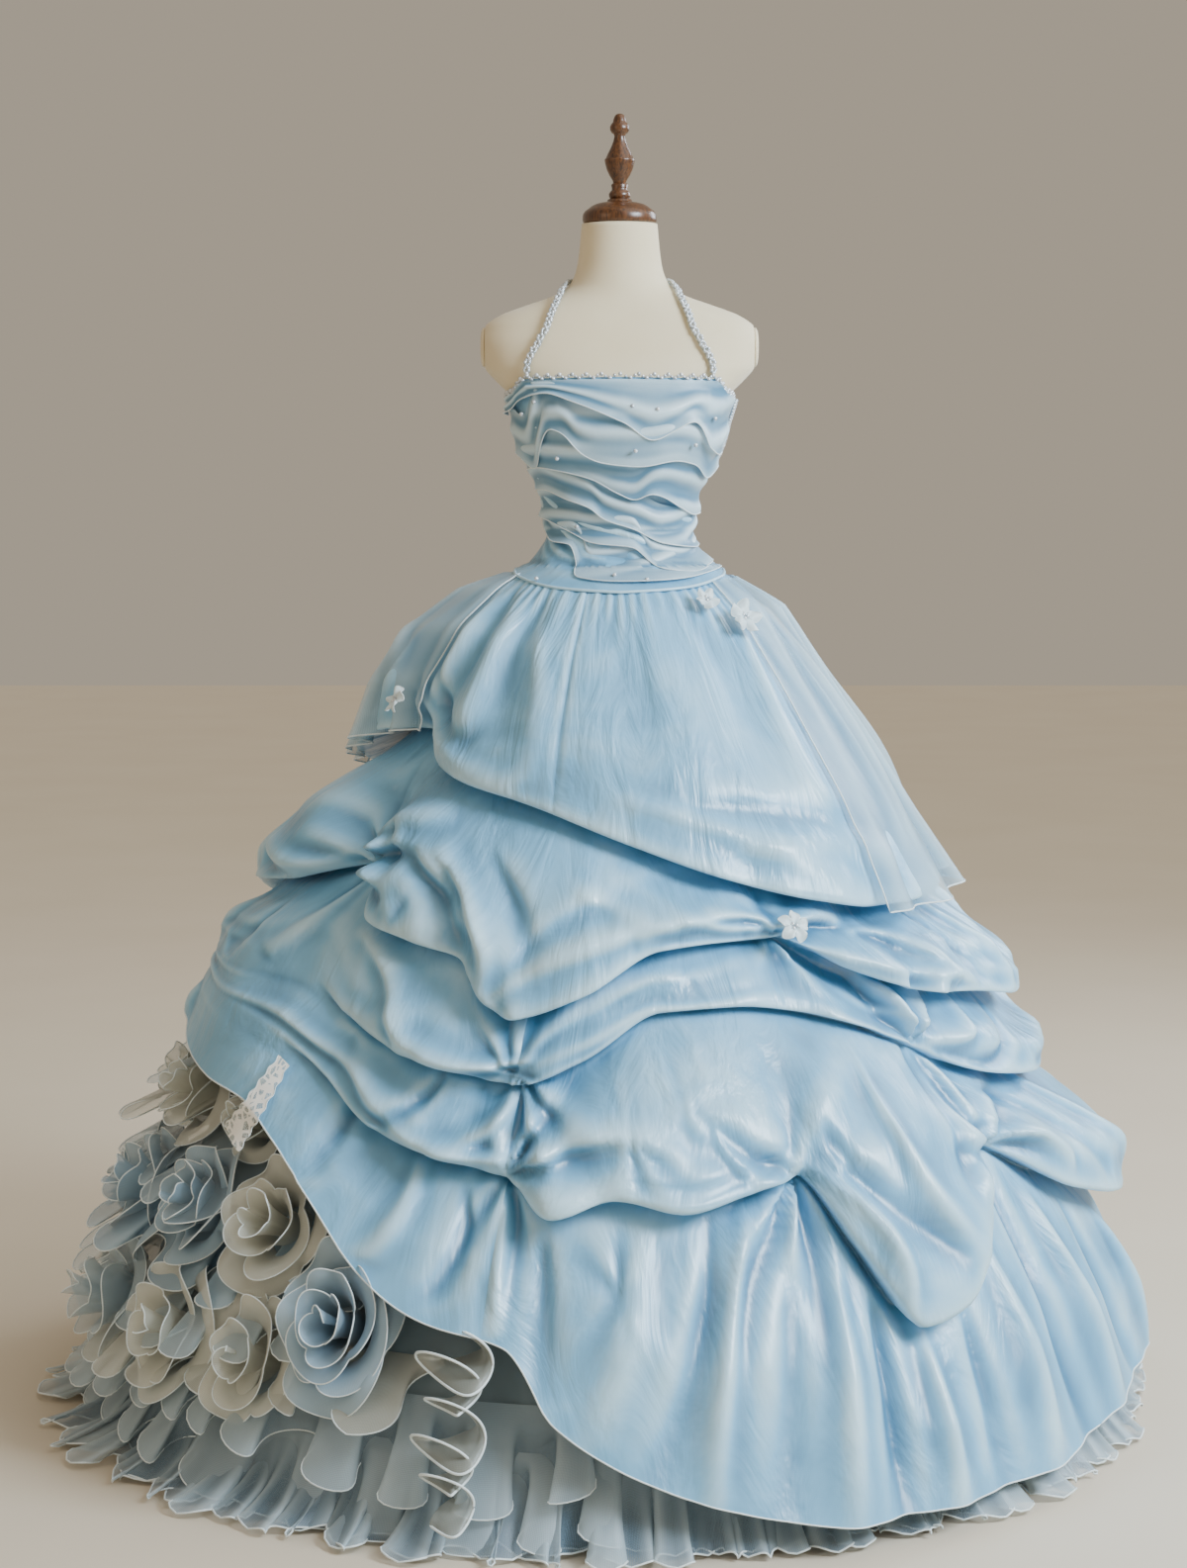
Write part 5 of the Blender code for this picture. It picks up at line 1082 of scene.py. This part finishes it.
# Each flower: name, angle, height, how far it stands off the petticoat's bell, radius.
FLOWERS = (
    ("hip_flower", 44.0, 1.098, 0.052, 0.024),
    ("hip_flower_small", 33.0, 1.122, 0.040, 0.016),
    ("apron_flower", -64.0, 0.985, 0.094, 0.019),
    ("tack_flower", 28.5, 0.715, 0.066, 0.021),
)
for k, (name, phi, height, off, radius) in enumerate(FLOWERS):
    _, across, up, out = local_axes(phi, height)
    centre = bell(phi, height, off)
    turn = np.linspace(0, 2 * math.pi, 121)[:-1][:, None]
    far = np.linspace(0, 1, 9)[None, :]
    petal = np.abs(np.cos(2.5 * turn + k)) ** 0.5
    reach = radius * far * (0.45 + 0.60 * petal)
    lift = radius * (0.30 * np.sin(math.pi * far * 0.8) + 0.25 * far**2 * np.sin(5 * turn + 2 + k) * petal)
    grid = centre + ((reach * np.cos(turn))[..., None] * across + (reach * np.sin(turn))[..., None] * up
                     + (0.002 + lift)[..., None] * out)
    made = sheet_of(f"silk_{name}", grid, silk, closed=True,
                    edges=[np.concatenate([grid[:, -1], grid[:1, -1]])], edge_finish=rolled, edge_radius=0.0007)
    placed(made, "silk_flower", name)
    beads(f"heart_{name}", (centre + 0.006 * out)[None, :] + 0.0035 * np.array(
        (across, -0.5 * across + 0.8 * up, -0.5 * across - 0.8 * up)), np.full(3, 0.0026), "bead_trim")

# -----------------------------------------------------------------------------
# Lace insert: a strip of corded lace, cotton on net, sewn along the side puff from its corner.
# -----------------------------------------------------------------------------

# Corded lace: white motifs about 12 mm across, joined by fine net that is left open.
lace, tree, shader = new_finish("corded_lace", Roughness=0.75, Sheen_Weight=0.2)
place = add(tree, "ShaderNodeTexCoord").outputs["UV"]
motif = add(tree, "ShaderNodeTexVoronoi", {"Vector": place, "Scale": 85.0}, feature="DISTANCE_TO_EDGE")
net = add(tree, "ShaderNodeTexVoronoi", {"Vector": place, "Scale": 420.0}, feature="DISTANCE_TO_EDGE")
cords = add(tree, "ShaderNodeMath", {0: motif.outputs["Distance"], 1: 0.16}, operation="LESS_THAN")
mesh_net = add(tree, "ShaderNodeMath", {0: net.outputs["Distance"], 1: 0.10}, operation="LESS_THAN")
filled = add(tree, "ShaderNodeMath", {0: cords.outputs["Value"], 1: mesh_net.outputs["Value"]}, operation="MAXIMUM")
seen = add(tree, "ShaderNodeMapRange", {"Value": filled.outputs["Value"], "To Min": 0.25, "To Max": 1.0})
tree.links.new(seen.outputs["Result"], shader.inputs["Alpha"])
tree.links.new(blended(tree, cords.outputs["Value"], "c6d2d4", "f4f4ef"), shader.inputs["Base Color"])
bumped(tree, shader, cords.outputs["Value"], 0.5, 0.0012)
along = np.linspace(0, 1, 80)[:, None]
share = np.linspace(-1, 1, 12)[None, :]
half = 0.008 + 0.008 * along**0.7 + 0.0012 * np.cos(along * 40)
spot = np.stack(np.broadcast_arrays(-0.436 - 0.066 * along + 0.83 * half * share,
                                    0.538 - 0.098 * along - 0.56 * half * share), axis=-1)
# It lies on the puff: each point takes the reach of the foremost cloth within 9 mm, smoothed, and 4 mm more.
near = skirt_grid.reshape(-1, 3)
near = near[(np.abs(near[:, 0] + 0.47) < 0.10) & (np.abs(near[:, 2] - 0.49) < 0.12) & (near[:, 1] < 0)]
gap = np.hypot(spot[..., 0, None] - near[:, 0], spot[..., 1, None] - near[:, 2])
front = np.where(gap < 0.009, near[:, 1], near[gap.argmin(-1), 1][..., None]).min(axis=-1) - 0.004
for _ in range(6):
    front[1:-1] = 0.25 * front[:-2] + 0.5 * front[1:-1] + 0.25 * front[2:]
    front[:, 1:-1] = 0.25 * front[:, :-2] + 0.5 * front[:, 1:-1] + 0.25 * front[:, 2:]
grid = np.stack([spot[..., 0], front, spot[..., 1]], axis=-1)
lace_strip = sheet_of("lace_strip", grid, lace, edges=[grid[:, 0], grid[:, -1]], edge_finish=rolled,
                      edge_radius=0.0005)
placed(lace_strip, "silk_flower", "lace_insert")

# -----------------------------------------------------------------------------
# Studio: a plain pale paper floor under a plain pale sky, with a cool key light on the wearer's left, a weak warm
# fill on the right, a cool rim light behind, an even skylight, and a camera at chest height.
# -----------------------------------------------------------------------------

paper, tree, shader = new_finish("studio_paper", Roughness=0.9)
place = add(tree, "ShaderNodeTexCoord").outputs["Object"]
faint = noise(tree, place, 2.0, 3.0)
tree.links.new(blended(tree, faint.outputs["Fac"], "cdc0ab", "d6cab7"), shader.inputs["Base Color"])
side = np.linspace(-14, 14, 9)[:, None]
along = np.linspace(14, -14, 9)[None, :]
floor = np.stack(np.broadcast_arrays(side, along, 0 * side), axis=-1)
studio_floor = sheet_of("studio_floor", floor, paper)

world = bpy.data.worlds.new("studio_air")
bpy.context.scene.world = world
world.use_nodes = True
world.node_tree.nodes["Background"].inputs["Color"].default_value = linear("dccfba")
world.node_tree.nodes["Background"].inputs["Strength"].default_value = 0.58
# Each lamp: name, power in watts, size, colour, place, the point that it faces.
LAMPS = (
    ("key_softbox", 240, 1.5, "e2f2ff", (2.7, -2.0, 2.7), (0.1, 0, 0.75)),
    ("fill_softbox", 16, 2.0, "ffe2c4", (-3.0, -2.8, 2.1), (0, 0, 0.8)),
    ("rim_softbox", 60, 1.4, "e8f3ff", (2.4, 2.0, 2.4), (0, 0, 0.8)),
)
for name, power, size, colour, place, aim in LAMPS:
    lamp = bpy.data.lights.new(name, "AREA")
    lamp.energy, lamp.size, lamp.color = power, size, linear(colour)[:3]
    stand = bpy.data.objects.new(name, lamp)
    stand.location = place
    stand.rotation_euler = (mathutils.Vector(aim) - mathutils.Vector(place)).to_track_quat("-Z", "Y").to_euler()
    bpy.context.scene.collection.objects.link(stand)
# A broad skylight overhead lights the whole floor evenly.
skylight = bpy.data.lights.new("skylight", "SUN")
skylight.energy, skylight.angle, skylight.color = 1.4, math.radians(70), linear("f6f4ee")[:3]
overhead = bpy.data.objects.new("skylight", skylight)
overhead.rotation_euler = (math.radians(14), math.radians(38), 0)
bpy.context.scene.collection.objects.link(overhead)

camera = bpy.data.objects.new("camera", bpy.data.cameras.new("camera"))
camera.location = (-0.036, -4.12, 1.29)
camera.rotation_euler = (math.radians(84.01), 0, 0)
camera.data.lens = 67.6
bpy.context.scene.collection.objects.link(camera)
bpy.context.scene.camera = camera
